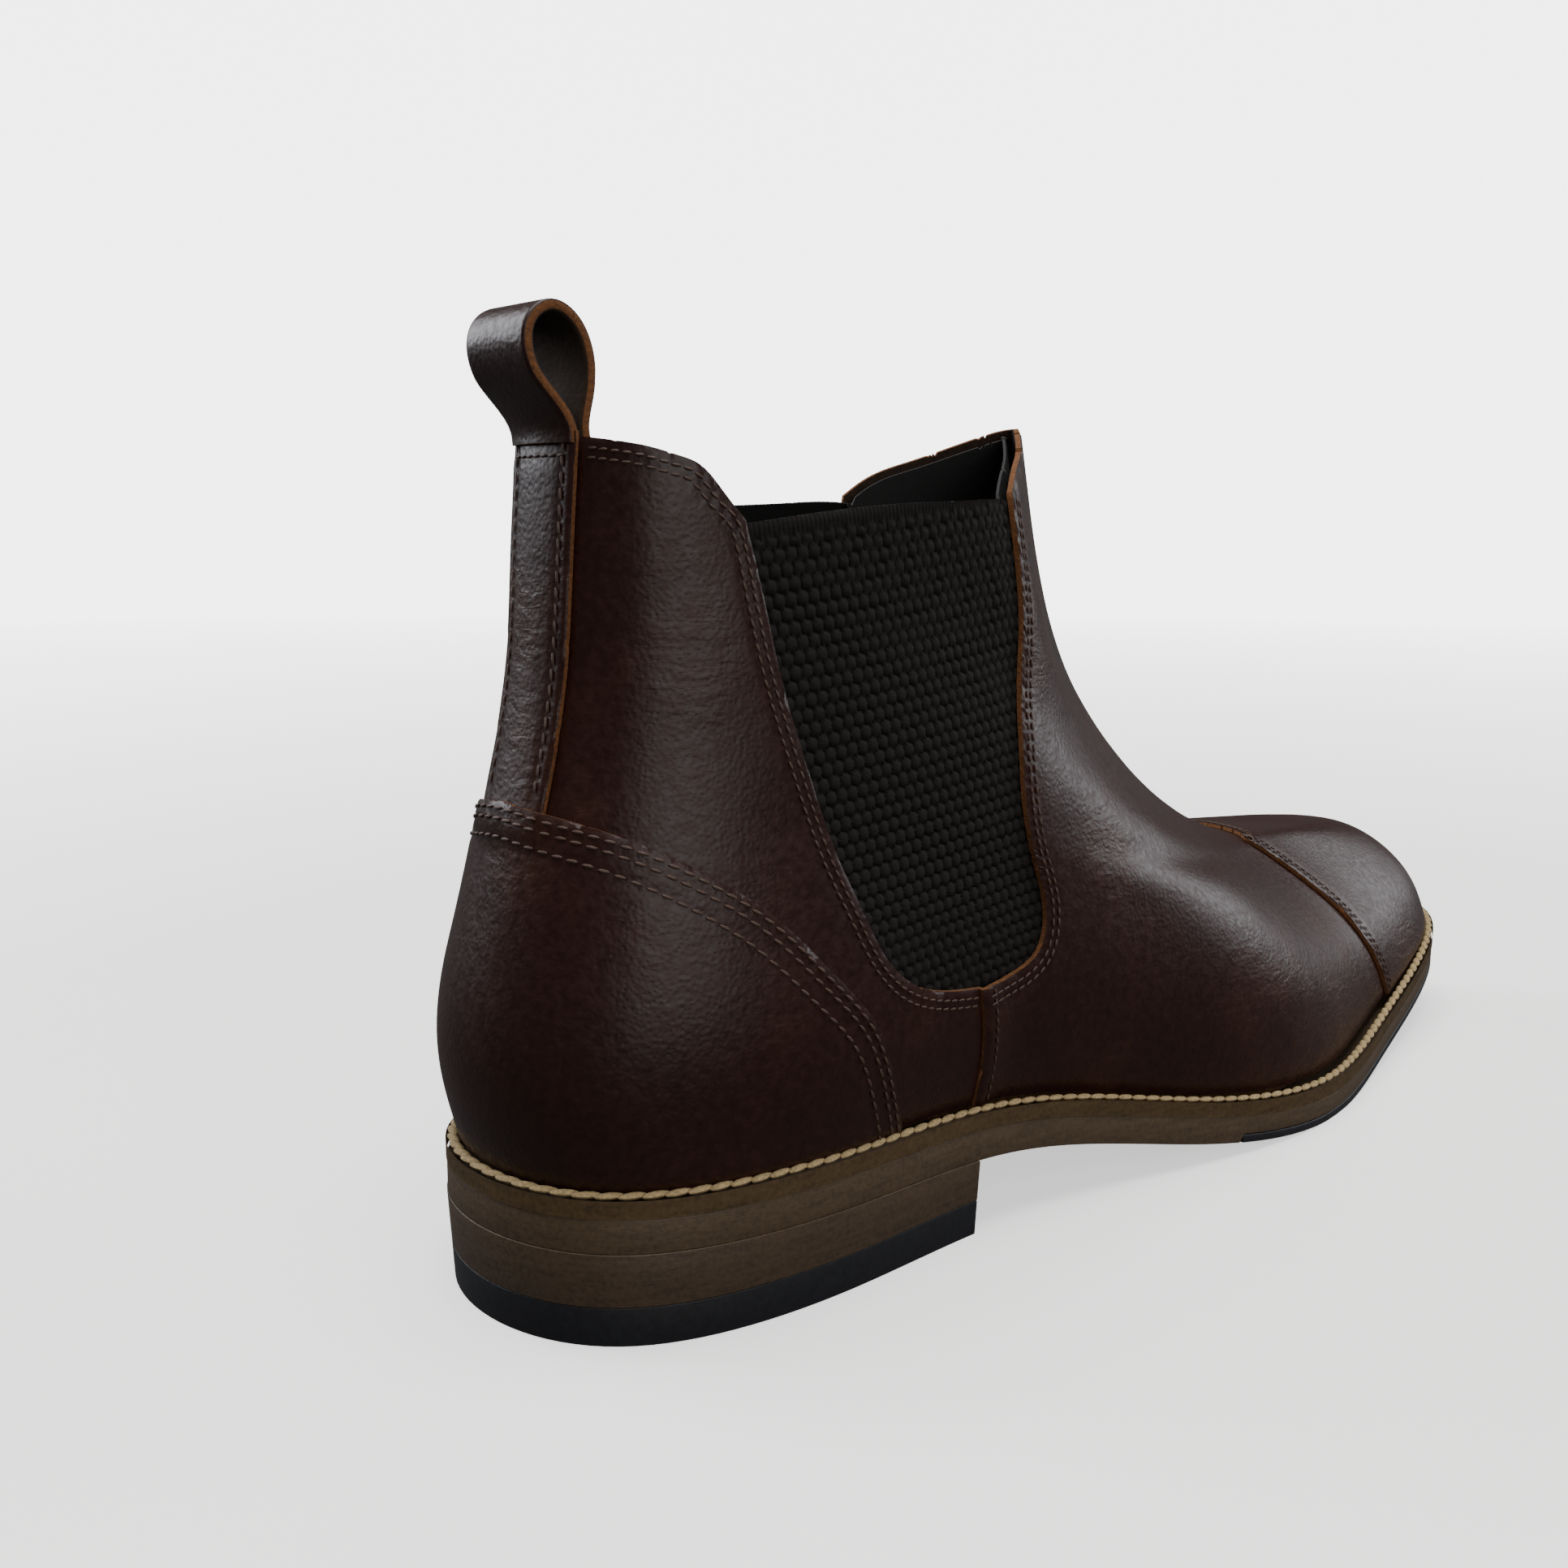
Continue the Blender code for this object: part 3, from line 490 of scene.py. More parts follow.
def sew(bm, line, pitch, outside, wide, lift=None, lean=7.0):
    """Add a row of lockstitches along a traced line to the bmesh, on leather lifted this far."""
    spots = arc_places(line, pitch)
    solid = last_surface(spots[:, 0], spots[:, 1])
    way = np.gradient(solid, axis=0)
    normal = tangents(spots[:, 0], spots[:, 1])[2]
    height = outside + relief(solid)
    if lift is not None:
        height = height + lift(spots[:, 0], spots[:, 1], solid)
    centre = skin(spots[:, 0], spots[:, 1], height)
    for point, along, out in zip(centre, way, normal):
        add_stitch(bm, point, along, out, pitch * STITCH_FILL, wide, wide * STITCH_FLAT, lean)


def add_stitch(bm, point, along, out, long, wide, high, lean):
    """One stitch: a short bead of thread with its poles at its ends, a little askew."""
    along = Vector(along).normalized()
    across = Vector(out).cross(along).normalized()
    turn = Matrix((along, across, along.cross(across))).transposed().to_4x4()
    askew = Matrix.Rotation(math.radians(lean), 4, "Z") @ Matrix.Rotation(math.radians(90), 4, "Y")
    size = Matrix.Diagonal((high / 2, wide / 2, long / 2, 1.0))
    home = Matrix.Translation(place(point)) @ Matrix.Scale(MM, 4)
    bmesh.ops.create_uvsphere(bm, u_segments=8, v_segments=6, radius=1.0,
                              matrix=home @ turn @ askew @ size)


# --- materials ---
def add(tree, kind, inputs=None, stops=(), to=None, **settings):
    """Add a node with its settings and colour stops, and link or set its inputs.

    A node given for an input stands for its first output. The new node's first output goes to the
    socket in to.
    """
    made = tree.nodes.new("ShaderNode" + kind)
    for key, value in settings.items():
        setattr(made, key, value)
    for socket, value in (inputs or {}).items():
        if isinstance(value, bpy.types.Node):
            value = value.outputs[0]
        if isinstance(value, bpy.types.NodeSocket):
            tree.links.new(value, made.inputs[socket])
        else:
            made.inputs[socket].default_value = value
    if stops:
        elements = made.color_ramp.elements
        while len(elements) < len(stops):
            elements.new(0.5)
        for element, (position, value) in zip(elements, stops):
            element.position = position
            element.color = (*value, 1.0)
    if to is not None:
        tree.links.new(made.outputs[0], to)
    return made


def new_material(name, **sockets):
    """A material, its tree, its shader's sockets and the coordinates of the object it lies on."""
    material = bpy.data.materials.new(name)
    material.use_nodes = True
    tree = material.node_tree
    shader = tree.nodes["Principled BSDF"].inputs
    for socket, value in sockets.items():
        shader[socket.replace("_", " ")].default_value = value
    return material, tree, shader, add(tree, "TexCoord").outputs["Object"]


def per_mm(size):
    """The texture scale at which a feature is this many millimetres across."""
    return 1.0 / (size * MM)


def times(value, share):
    return tuple(min(1.0, v * share) for v in value)


def waxed_leather():
    """Full-grain calf leather, aniline dyed and waxed: fine pores that break up its soft shine."""
    tint = bpy.context.scene.boot_colours
    material, tree, shader, here = new_material("waxed_calf_leather", Roughness=0.4, IOR=1.4)
    patches = add(tree, "TexNoise", {"Vector": here, "Scale": per_mm(38), "Detail": 4.0,
                                     "Roughness": 0.6})
    speckle = add(tree, "TexNoise", {"Vector": here, "Scale": per_mm(1.6), "Detail": 3.0})
    base = add(tree, "ValToRGB", {"Fac": patches}, [
        (0.36, times(tint.leather, 0.82)), (0.55, tint.leather), (0.72, tint.leather_warm)])
    grainy = add(tree, "ValToRGB", {"Fac": speckle}, [
        (0.3, (0.72, 0.72, 0.72)), (0.7, (1.1, 1.1, 1.1))])
    add(tree, "MixRGB", {"Fac": 1.0, "Color1": base, "Color2": grainy},
        to=shader["Base Color"], blend_type="MULTIPLY")
    add(tree, "MapRange", {"Value": speckle, "From Min": 0.3, "From Max": 0.7, "To Min": 0.32,
                           "To Max": 0.46}, to=shader["Roughness"])
    pores = add(tree, "TexVoronoi", {"Vector": here, "Scale": per_mm(0.8)}, feature="SMOOTH_F1")
    flat = add(tree, "Mapping", {"Vector": here, "Scale": (1.0, 1.0, 3.4)})
    creases = add(tree, "TexNoise", {"Vector": flat, "Scale": per_mm(6.0), "Detail": 5.0,
                                     "Roughness": 0.55, "Distortion": 0.4})
    loose = add(tree, "MapRange", {"Value": patches, "From Min": 0.48, "From Max": 0.66,
                                   "To Min": 0.08, "To Max": 1.0})
    folds = add(tree, "Math", {0: creases, 1: loose}, operation="MULTIPLY")
    fine = add(tree, "Bump", {"Height": pores, "Strength": 0.45, "Distance": 0.15 * MM})
    add(tree, "Bump", {"Height": folds, "Strength": 0.5, "Distance": 0.5 * MM, "Normal": fine},
        to=shader["Normal"])
    return material


def fuzzy(name, code, rough, size, depth):
    """A fibrous or grainy surface: colour and height vary with the same fine noise."""
    material, tree, shader, here = new_material(name, Roughness=rough)
    fibres = add(tree, "TexNoise", {"Vector": here, "Scale": per_mm(size), "Detail": 5.0,
                                    "Roughness": 0.65})
    add(tree, "ValToRGB", {"Fac": fibres}, [
        (0.3, times(code, 0.5)), (0.52, code), (0.75, times(code, 1.5))],
        to=shader["Base Color"])
    add(tree, "Bump", {"Height": fibres, "Strength": 0.8, "Distance": depth * MM},
        to=shader["Normal"])
    return material


def knitted_elastic():
    """Black elastic webbing: covered rubber threads in knobs, with shade painted into the hollows
    between.
    """
    tint = bpy.context.scene.boot_colours
    material, tree, shader, here = new_material("knitted_elastic", Roughness=0.85,
                                                Specular_IOR_Level=0.25)
    # Painted shade: the colour darkens where the crest is low, in the hollows between the knobs and
    # between the binding's ribs.
    crest = add(tree, "Attribute", attribute_name="crest")
    add(tree, "ValToRGB", {"Fac": crest.outputs["Fac"]}, [
        (0.1, times(tint.webbing, 0.18)), (0.6, times(tint.webbing, 0.7)), (1.0, tint.webbing)],
        to=shader["Base Color"])
    yarn = add(tree, "TexNoise", {"Vector": here, "Scale": per_mm(0.5), "Detail": 3.0})
    add(tree, "Bump", {"Height": yarn, "Strength": 0.5, "Distance": 0.15 * MM},
        to=shader["Normal"])
    return material


def layered_edge(name, code, rough):
    """Cut and burnished sole leather: flat streaks of fibre, stacked like pages."""
    material, tree, shader, here = new_material(name, Roughness=rough)
    streak, flatness = 1.2, 9.0
    flat = add(tree, "Mapping", {"Vector": here, "Scale": (1.0, 1.0, flatness)})
    layers = add(tree, "TexNoise", {"Vector": flat, "Scale": per_mm(streak * flatness),
                                    "Detail": 6.0, "Roughness": 0.7})
    grit = add(tree, "TexNoise", {"Vector": here, "Scale": per_mm(0.9), "Detail": 3.0})
    both = add(tree, "Math", {0: layers, 1: grit}, operation="ADD")
    mean = add(tree, "Math", {0: both, 1: 0.5}, operation="MULTIPLY")
    add(tree, "ValToRGB", {"Fac": mean}, [
        (0.34, times(code, 0.62)), (0.5, code), (0.66, times(code, 1.25))],
        to=shader["Base Color"])
    add(tree, "Bump", {"Height": both, "Strength": 0.4, "Distance": 0.2 * MM},
        to=shader["Normal"])
    return material


def drawn_steel():
    """Cold-drawn steel wire and strip, dull from handling."""
    material, tree, shader, here = new_material(
        "cold_drawn_steel", Metallic=1.0, Base_Color=(*rgb("#9C9B98"), 1.0), Roughness=0.4)
    marks = add(tree, "TexNoise", {"Vector": here, "Scale": per_mm(0.6)})
    add(tree, "Bump", {"Height": marks, "Strength": 0.3, "Distance": 0.05 * MM},
        to=shader["Normal"])
    return material


def painted_floor():
    """Matt white painted board with hardly any tooth, which glows more the farther it is away."""
    tint = bpy.context.scene.boot_colours
    material, tree, shader, here = new_material(
        "matt_white_board", Roughness=0.7, Base_Color=(*tint.floor, 1.0),
        Emission_Color=(1.0, 1.0, 1.0, 1.0))
    tooth = add(tree, "TexNoise", {"Vector": here, "Scale": per_mm(3.0)})
    away = add(tree, "VectorMath", {0: here}, operation="LENGTH")
    add(tree, "MapRange", {"Value": away.outputs["Value"], "From Min": 0.3, "From Max": 2.2,
                           "To Min": 0.9, "To Max": 4.5}, to=shader["Emission Strength"])
    add(tree, "Bump", {"Height": tooth, "Strength": 0.05, "Distance": 0.1 * MM},
        to=shader["Normal"])
    return material


MATERIALS = {}


def finish(name):
    """The material of this name, made on its first use."""
    tint = bpy.context.scene.boot_colours
    # Plain ones have a name, a colour, a roughness, and the size and depth of their grain in mm.
    makers = {
        "leather": waxed_leather,
        # Raw cut leather: matt, with a coarse nap of loose fibre.
        "cut_edge": lambda: fuzzy("raw_cut_leather", tint.cut_edge, 0.95, 0.7, 0.35),
        # The unsplit back of the leather: matt and napped, darker than the cut.
        "flesh": lambda: fuzzy("leather_flesh_side", tint.flesh, 0.95, 0.9, 0.3),
        "webbing": knitted_elastic,
        # Pigmented lining leather: nearly smooth, with a faint sheen.
        "lining": lambda: fuzzy("black_lining_leather", tint.lining, 0.75, 0.8, 0.08),
        # Bonded polyester thread, waxed: a tight twist with a slight shine.
        "thread": lambda: fuzzy("waxed_polyester_thread", tint.thread, 0.55, 0.35, 0.08),
        # Waxed linen thread: thick, pale and a little hairy.
        "welt_thread": lambda: fuzzy("waxed_linen_thread", tint.welt_thread, 0.75, 0.5, 0.2),
        "welt": lambda: layered_edge("bark_tanned_welt", tint.welt, 0.7),
        "stack": lambda: layered_edge("burnished_sole_leather", tint.stack, 0.55),
        "heel": lambda: layered_edge("burnished_heel_leather", tint.heel, 0.5),
        # Moulded and trimmed rubber: even and matt.
        "rubber": lambda: fuzzy("vulcanised_rubber", tint.rubber, 0.55, 1.5, 0.05),
        # Pressed cellulose board: dry and slightly felted.
        "board": lambda: fuzzy("pressed_fibre_board", rgb("#8F7350"), 0.85, 1.0, 0.15),
        # Ground cork in glue, spread by hand: coarse grains.
        "cork": lambda: fuzzy("cork_paste", rgb("#7A5A38"), 0.9, 2.0, 0.3),
        "steel": drawn_steel,
        "floor": painted_floor,
    }
    if name not in MATERIALS:
        MATERIALS[name] = makers[name]()
    return MATERIALS[name]


def leather_set():
    return [finish("leather"), finish("cut_edge"), finish("flesh")]


def bend_at_ball(piece):
    """Bake a forepart piece's placement into its mesh."""
    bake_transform(piece)


def bend_at_collar(piece):
    """Bake a piece of the shaft's placement into its mesh."""
    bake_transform(piece)


def bend_gore(piece):
    """Bake a gore's placement into its mesh."""
    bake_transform(piece)


# --- the upper's seams ---
def rows_beside(line, *distances):
    traced = trace(line)
    return [beside(traced, distance) for distance in distances]


def collar_rows():
    """The double row along the topline and down the gore's rear edge, on the lateral side."""
    whole = TOPLINE[:-1] + GORE_REAR
    start = [(12.0, .990)] + [p for p in whole if p[0] > 14]
    return rows_beside(start, -1.6, -3.1)


def gore_front_rows():
    return rows_beside(GORE_FRONT, -1.6, -3.2)


def seam_rows():
    return rows_beside(SIDE_SEAM, -2.0)


def counter_rows():
    whole = mirrored(COUNTER_TOP)[:-1] + COUNTER_TOP
    return rows_beside(whole, -1.2, -2.9, -5.9)


def cap_rows():
    whole = CAP_SEAM[:-1] + over_toe(CAP_SEAM)
    return rows_beside(whole, -1.5, -3.2)


def over_strap(turn, rise, surface):
    """How far the counter cover is lifted where it lies on the end of the strap."""
    beside_strap = np.clip((13 - np.abs(turn)) / 5, 0, 1)
    below_strap = np.clip((rise - 0.44) / 0.05, 0, 1)
    return OVERLAP * smooth(beside_strap) * smooth(below_strap)


def over_seam(turn, rise, surface):
    """How far the vamp is lifted where its rear edge lies on the quarter."""
    seam = trace(SIDE_SEAM)
    seams = [last_surface(s[:, 0], s[:, 1]) for s in (seam, *flip_toe([seam]))]
    return OVERLAP * np.clip(1 - distance_to(surface, seams) / 7.0, 0, 1) ** 1.3


def strip_rows():
    return rows_beside(STRIP_SIDE, 2.2)


def strap_rows():
    """Two rows straight across the strap, just below the collar."""
    ends = [[(-11.0, r), (11.0, r)] for r in (.986, .970)]
    return [trace(line) for line in ends]


def flip(rows, side=-1):
    """Traced rows on the other side of the heel (side = -1) or the same rows."""
    return [row * (side, 1) for row in rows]


def flip_toe(rows):
    """Traced rows on the other side of the toe."""
    return [row + (360, 0) for row in flip(rows)]


# --- the upper ---
class BOOT_OT_vamp(bpy.types.Operator):
    """Cut the vamp, which wraps the whole front of the boot"""
    bl_idname = "boot.vamp"
    bl_label = "Vamp"

    def execute(self, context):
        sizes = context.scene.boot_upper
        seam = shifted(SIDE_SEAM, turn=-0.5)
        edge = [seam, [seam[-1], *GORE_FRONT[1:]], FRONT_LIP]
        outline = outline_of(*edge, *[over_toe(line) for line in reversed(edge)],
                             [(296, FOOT), (180, FOOT), (64, FOOT)])
        rows = gore_front_rows() + seam_rows()
        piece = leather_piece("vamp_leather", "vamp", outline, 0.0, sizes.leather / MM,
                              rows + flip_toe(rows), over_seam)
        bend_at_ball(piece)
        return {"FINISHED"}


class BOOT_OT_quarters(bpy.types.Operator):
    """Cut the two quarters, behind the gores"""
    bl_idname = "boot.quarters"
    bl_label = "Quarters"

    def execute(self, context):
        sizes = context.scene.boot_upper
        back = 0.15
        lines = ([(back, TOPLINE[0][1])] + TOPLINE[1:], GORE_REAR, SIDE_SEAM[::-1],
                 [SIDE_SEAM[0], (back, FOOT)], [(back, FOOT), (back, TOPLINE[0][1])])
        outline = outline_of(*lines)
        rows = collar_rows()
        for name, side in (("lateral", 1), ("medial", -1)):
            node = f"quarter_{name}"
            piece = leather_piece(node + "_leather", node, outline * (side, 1), 0.0,
                                  sizes.leather / MM, flip(rows, side))
            bend_at_collar(piece)
        return {"FINISHED"}


class BOOT_OT_counter(bpy.types.Operator):
    """Cut the counter cover, around the heel"""
    bl_idname = "boot.counter"
    bl_label = "Counter cover"

    def execute(self, context):
        sizes = context.scene.boot_upper
        foot = [COUNTER_TOP[-1], (-COUNTER_TOP[-1][0], FOOT)]
        outline = outline_of(mirrored(COUNTER_TOP), COUNTER_TOP, foot)
        piece = leather_piece("counter_leather", "counter_cover", outline, COUNTER_OUT,
                              sizes.overlay / MM, counter_rows(), over_strap)
        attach(piece, "root")
        return {"FINISHED"}


class BOOT_OT_toe_cap(bpy.types.Operator):
    """Cut the plain cap over the toe"""
    bl_idname = "boot.toe_cap"
    bl_label = "Toe cap"

    def execute(self, context):
        sizes = context.scene.boot_upper
        foot = [(360 - CAP_SEAM[0][0], FOOT), CAP_SEAM[0]]
        outline = outline_of(CAP_SEAM, over_toe(CAP_SEAM), foot)
        piece = leather_piece("toe_cap_leather", "toe_cap", outline, CAP_OUT, sizes.overlay / MM,
                              cap_rows())
        bend_at_ball(piece)
        return {"FINISHED"}


class BOOT_OT_strap(bpy.types.Operator):
    """Cut the strap up the back seam and fold its end into the pull loop"""
    bl_idname = "boot.strap"
    bl_label = "Back strap and pull loop"

    def execute(self, context):
        sizes = context.scene.boot_upper
        side = [(8.9, .500)] + STRIP_SIDE
        outline = outline_of(side[::-1], [side[0], (-side[0][0], side[0][1])],
                             mirrored(side)[::-1], [(-side[-1][0], .996), (side[-1][0], .996)])
        rows = strip_rows()
        piece = leather_piece("back_strap_leather", "back_strip", outline, STRAP_OUT,
                              sizes.overlay / MM, rows + flip(rows) + strap_rows())
        bend_at_collar(piece)
        loop = self.fold_loop(sizes.overlay / MM + 0.7)
        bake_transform(loop)
        return {"FINISHED"}

    def fold_loop(self, thick):
        """A strap that leaves the back seam, goes over a round eye and comes down inside."""
        # The strap's middle line, as x and z.
        knots = np.array([(14.9, 143.6), (14.9, 145.6), (13.0, 149.6), (9.9, 153.6), (8.3, 157.8),
                          (9.0, 161.8), (12.6, 164.2), (16.6, 162.6), (19.2, 158.2), (19.6, 153.4),
                          (18.4, 149.4), (17.4, 145.6), (17.9, 142.0)])
        run = run_of(knots)
        half_wide, cell, round_by = 8.6, 0.6, 0.5
        corners = np.array([(0, -half_wide), (run[-1], -half_wide), (run[-1], half_wide),
                            (0, half_wide)])
        bm = cut_out(corners, cell, thick)
        flat = coordinates(bm)
        layer = (flat[:, 2] > thick / 2).astype(float)
        middle = spline(run, knots, flat[:, 0])
        step = spline(run, knots, flat[:, 0] + 0.05) - spline(run, knots, flat[:, 0] - 0.05)
        step /= np.linalg.norm(step, axis=1, keepdims=True)
        outward = np.stack([-step[:, 1], step[:, 0]], -1)
        rim = np.clip(1 - (half_wide - np.abs(flat[:, 1])) / round_by, 0, 1)
        rounding = EDGE_FULLNESS * round_by * (1 - np.sqrt(1 - rim ** 2))
        depth = (layer - 0.5) * thick - rounding * np.sign(layer - 0.5)
        end = np.minimum(flat[:, 0], run[-1] - flat[:, 0])
        bow = 1.5 * (flat[:, 1] / half_wide) ** 2 * np.clip(1 - end / 12.0, 0, 1)
        x = middle[:, 0] + outward[:, 0] * depth + bow
        z = middle[:, 1] + outward[:, 1] * depth
        solid = np.stack([x, flat[:, 1], z], -1)
        mark_rim(bm, layer, 1)
        move_to(bm, to_metres(solid))
        return finish_piece("pull_loop_leather", bm, leather_set(), ["pull_loop"])


class BOOT_OT_gores(bpy.types.Operator):
    """Weave the elastic gores, with a bound top edge"""
    bl_idname = "boot.gores"
    bl_label = "Elastic gores"

    def execute(self, context):
        sizes = context.scene.boot_upper
        outline = outline_of(GORE_OUTER_EDGE, GORE_TOP)
        for name in ("lateral", "medial"):
            shape = outline if name == "lateral" else outline * (-1, 1) + (360, 0)
            piece = self.weave(name, shape, sizes)
            bend_gore(piece)
        return {"FINISHED"}

    def weave(self, name, outline, sizes):
        wide, high, thick = sizes.knob_width / MM, sizes.knob_height / MM, sizes.webbing / MM
        bm = cut_out(outline * FLAT, wide / sizes.knobs)
        flat = coordinates(bm)
        turn, rise, layer = flat[:, 0] / FLAT[0], flat[:, 1] / FLAT[1], flat[:, 2].round()
        surface = last_surface(turn, rise)
        slope = math.radians(6.4)
        across = surface[:, 0] * math.cos(slope) + surface[:, 2] * math.sin(slope)
        level = surface[:, 2] * math.cos(slope) - surface[:, 0] * math.sin(slope)
        top = last_surface(*np.array(GORE_TOP).T)
        down = (top[:, 2] * math.cos(slope) - top[:, 0] * math.sin(slope)).max() - level
        row = np.floor(down / high)
        u = (across / wide + 0.5 * (row % 2)) % 1 - 0.5
        v = down / high - row - 0.5
        knob = np.clip(1 - np.abs(2 * u) ** 2.4 - 0.85 * np.abs(2 * v) ** 2.8, 0, 1) ** 0.5
        rib = 0.75 + 0.25 * np.cos(math.tau * across / RIB_PITCH)
        from_middle = np.clip(down, 0, BINDING) / (BINDING / 2) - 1
        edge_round = np.sqrt(np.clip(1 - from_middle ** 2, 0, 1))
        crest = np.where(down < BINDING, rib * edge_round, knob)
        height = WEBBING_OUT + (KNOB_HIGH * crest - KNOB_SUNK) * layer - (1 - layer) * thick
        # The crest is stored for the elastic's colour, which paints shade where it is low: in the
        # hollows, between the binding's ribs and on the back face.
        store = bm.verts.layers.float.new("crest")
        for vert, value in zip(bm.verts, crest * layer):
            vert[store] = value
        move_to(bm, to_metres(skin(turn, rise, height)))
        return finish_piece(f"gore_{name}_webbing", bm, [finish("webbing")],
                            [f"gore_{name}"])


class BOOT_OT_linings(bpy.types.Operator):
    """Cut the black lining of the vamp and quarters"""
    bl_idname = "boot.linings"
    bl_label = "Linings"

    def execute(self, context):
        sizes = context.scene.boot_upper
        thick = sizes.lining / MM
        seam = shifted(SIDE_SEAM, turn=0.5, rise=0.006)
        lip = shifted(FRONT_LIP, rise=-0.004)
        edge = [seam, [seam[-1], *shifted(GORE_FRONT[1:-1], turn=0.5), lip[0]], lip]
        outline = outline_of(*edge, *[over_toe(line) for line in reversed(edge)],
                             [(295, .01), (180, .01), (65, .01)])
        piece = leather_piece("vamp_lining_leather", "vamp_lining", outline, LINING_OUT, thick,
                              lining=True)
        bend_at_ball(piece)
        seam = shifted(SIDE_SEAM, turn=-0.5, rise=0.006)
        top = shifted(TOPLINE, rise=-0.004)
        rear = [top, [top[-1], *shifted(GORE_REAR[1:-1], turn=-0.5), seam[-1]], seam[::-1]]
        outline = outline_of(*[mirrored(line) for line in reversed(rear)], *rear,
                             [seam[0], (0, .01), (-seam[0][0], .01)])
        piece = leather_piece("quarter_lining_leather", "quarter_lining", outline, LINING_OUT,
                              thick, lining=True)
        bend_at_collar(piece)
        return {"FINISHED"}


class BOOT_OT_stitches(bpy.types.Operator):
    """Sew the seams of the upper"""
    bl_idname = "boot.stitches"
    bl_label = "Upper stitches"

    def execute(self, context):
        sizes = context.scene.boot_upper
        wide, short, long = (s / MM for s in (sizes.thread, sizes.short_pitch, sizes.long_pitch))
        # Each seam: its name, its bend, and batches of rows with pitch, height, width and lift.
        groups = [
            ("quarter_stitches", bend_at_collar, [
                (collar_rows() + flip(collar_rows()), short, PROUD, wide, None)]),
            ("vamp_stitches", bend_at_ball, [
                (gore_front_rows() + flip_toe(gore_front_rows()), short, PROUD, wide, over_seam),
                (seam_rows() + flip_toe(seam_rows()), short, PROUD, wide, over_seam)]),
            ("cap_stitches", bend_at_ball, [
                (cap_rows(), short, CAP_OUT + PROUD, wide * 0.8, None)]),
            ("counter_stitches", None, [
                (counter_rows(), long, COUNTER_OUT + PROUD, wide * 1.2, over_strap)]),
            ("strap_stitches", bend_at_collar, [
                (strip_rows() + flip(strip_rows()), long, STRAP_OUT + PROUD, wide, None),
                (strap_rows(), short, STRAP_OUT + PROUD, wide, None)]),
        ]
        for name, bend, batches in groups:
            bm = bmesh.new()
            for rows, pitch, outside, size, lift in batches:
                for row in rows:
                    sew(bm, row, pitch, outside, size, lift)
            piece = finish_piece(name, bm, [finish("thread")])
            if bend is None:
                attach(piece, "root")
            else:
                bend(piece)
        return {"FINISHED"}


# --- the sole ---
# How far the welt reaches in from its edge, and where the cork that fills it starts.
WELT_REACH, CORK_MARGIN = 9.0, 9.6
# The gap left between two layers of the sole.
JOINT = 0.05


def plan_outline(step=2.0):
    return welt_edge(np.arange(0, 360, step))


def slab(outline, thick, rounding, keep=None, hole=None):
    """A flat plate from z = -thick to 0, with rounded edges, cut across at x planes.

    keep = (low, high) is the stretch of x that stays, and hole the width of the ring that stays.
    """
    bm = bmesh.new()
    face = bm.faces.new([bm.verts.new((x, y, 0)) for x, y in outline])
    if hole:
        bmesh.ops.inset_individual(bm, faces=[face], thickness=hole, use_even_offset=True)
        bmesh.ops.delete(bm, geom=[face], context="FACES")
    if keep:
        for at, way in ((keep[0], -1), (keep[1], 1)):
            cut_across(bm, 0, at, way, clear_outer=True)
    extents = [v.co.x for v in bm.verts]
    for at in np.arange(math.ceil(min(extents) + 1), max(extents) - 1, 4.0):
        cut_across(bm, 0, at, dist=0.05)
    thicken(bm, -thick)
    if rounding:
        bmesh.ops.recalc_face_normals(bm, faces=bm.faces)
        edges = [e for e in bm.edges if len(e.link_faces) == 2
                 and abs(abs(e.link_faces[0].normal.z) - abs(e.link_faces[1].normal.z)) > 0.9]
        bmesh.ops.bevel(bm, geom=edges, offset=rounding, segments=3, profile=0.5, affect="EDGES",
                        material=-1, clamp_overlap=True)
    return bm


def bend_slab(bm, height, squeeze=None):
    """Lift a flat plate to follow a height along the boot."""
    points = coordinates(bm)
    if squeeze is not None:
        points = squeeze(points)
    points[:, 2] += height(points[:, 0])
    move_to(bm, to_metres(points))
    return bm


class BOOT_OT_welt(bpy.types.Operator):
    """Lay the welt and sew it with thick thread"""
    bl_idname = "boot.welt"
    bl_label = "Welt"

    def execute(self, context):
        sizes = context.scene.boot_sole
        bm = slab(plan_outline(), sizes.welt / MM, sizes.edge / MM, hole=WELT_REACH)
        piece = finish_piece("welt_strip", bend_slab(bm, welt_top), [finish("welt")],
                             ["welt"])
        bend_at_ball(piece)
        self.sew_welt(sizes)
        return {"FINISHED"}

    def sew_welt(self, sizes):
        """Slanting stitches that lie on the welt end to end, like the strands of a rope."""
        path = inset(plan_outline(1.0), 1.35)
        path = np.concatenate([path, path[:1]])
        run = run_of(path)
        count = int(run[-1] / (sizes.stitch_pitch / MM))
        at = run[-1] * np.arange(count) / count
        x, y = (np.interp(at, run, path[:, k]) for k in (0, 1))
        x2, y2 = (np.interp((at + 1) % run[-1], run, path[:, k]) for k in (0, 1))
        z, z2 = welt_top(x), welt_top(x2)
        bm = bmesh.new()
        for a, b in zip(np.stack([x, y, z], -1), np.stack([x2, y2, z2], -1)):
            add_stitch(bm, a + (0, 0, 0.35), b - a, (0, 0, 1), sizes.stitch_long / MM,
                       sizes.stitch_wide / MM, 1.2, 14.0)
        piece = finish_piece("welt_stitches", bm, [finish("welt_thread")],
                             ["welt_thread"])
        bend_at_ball(piece)


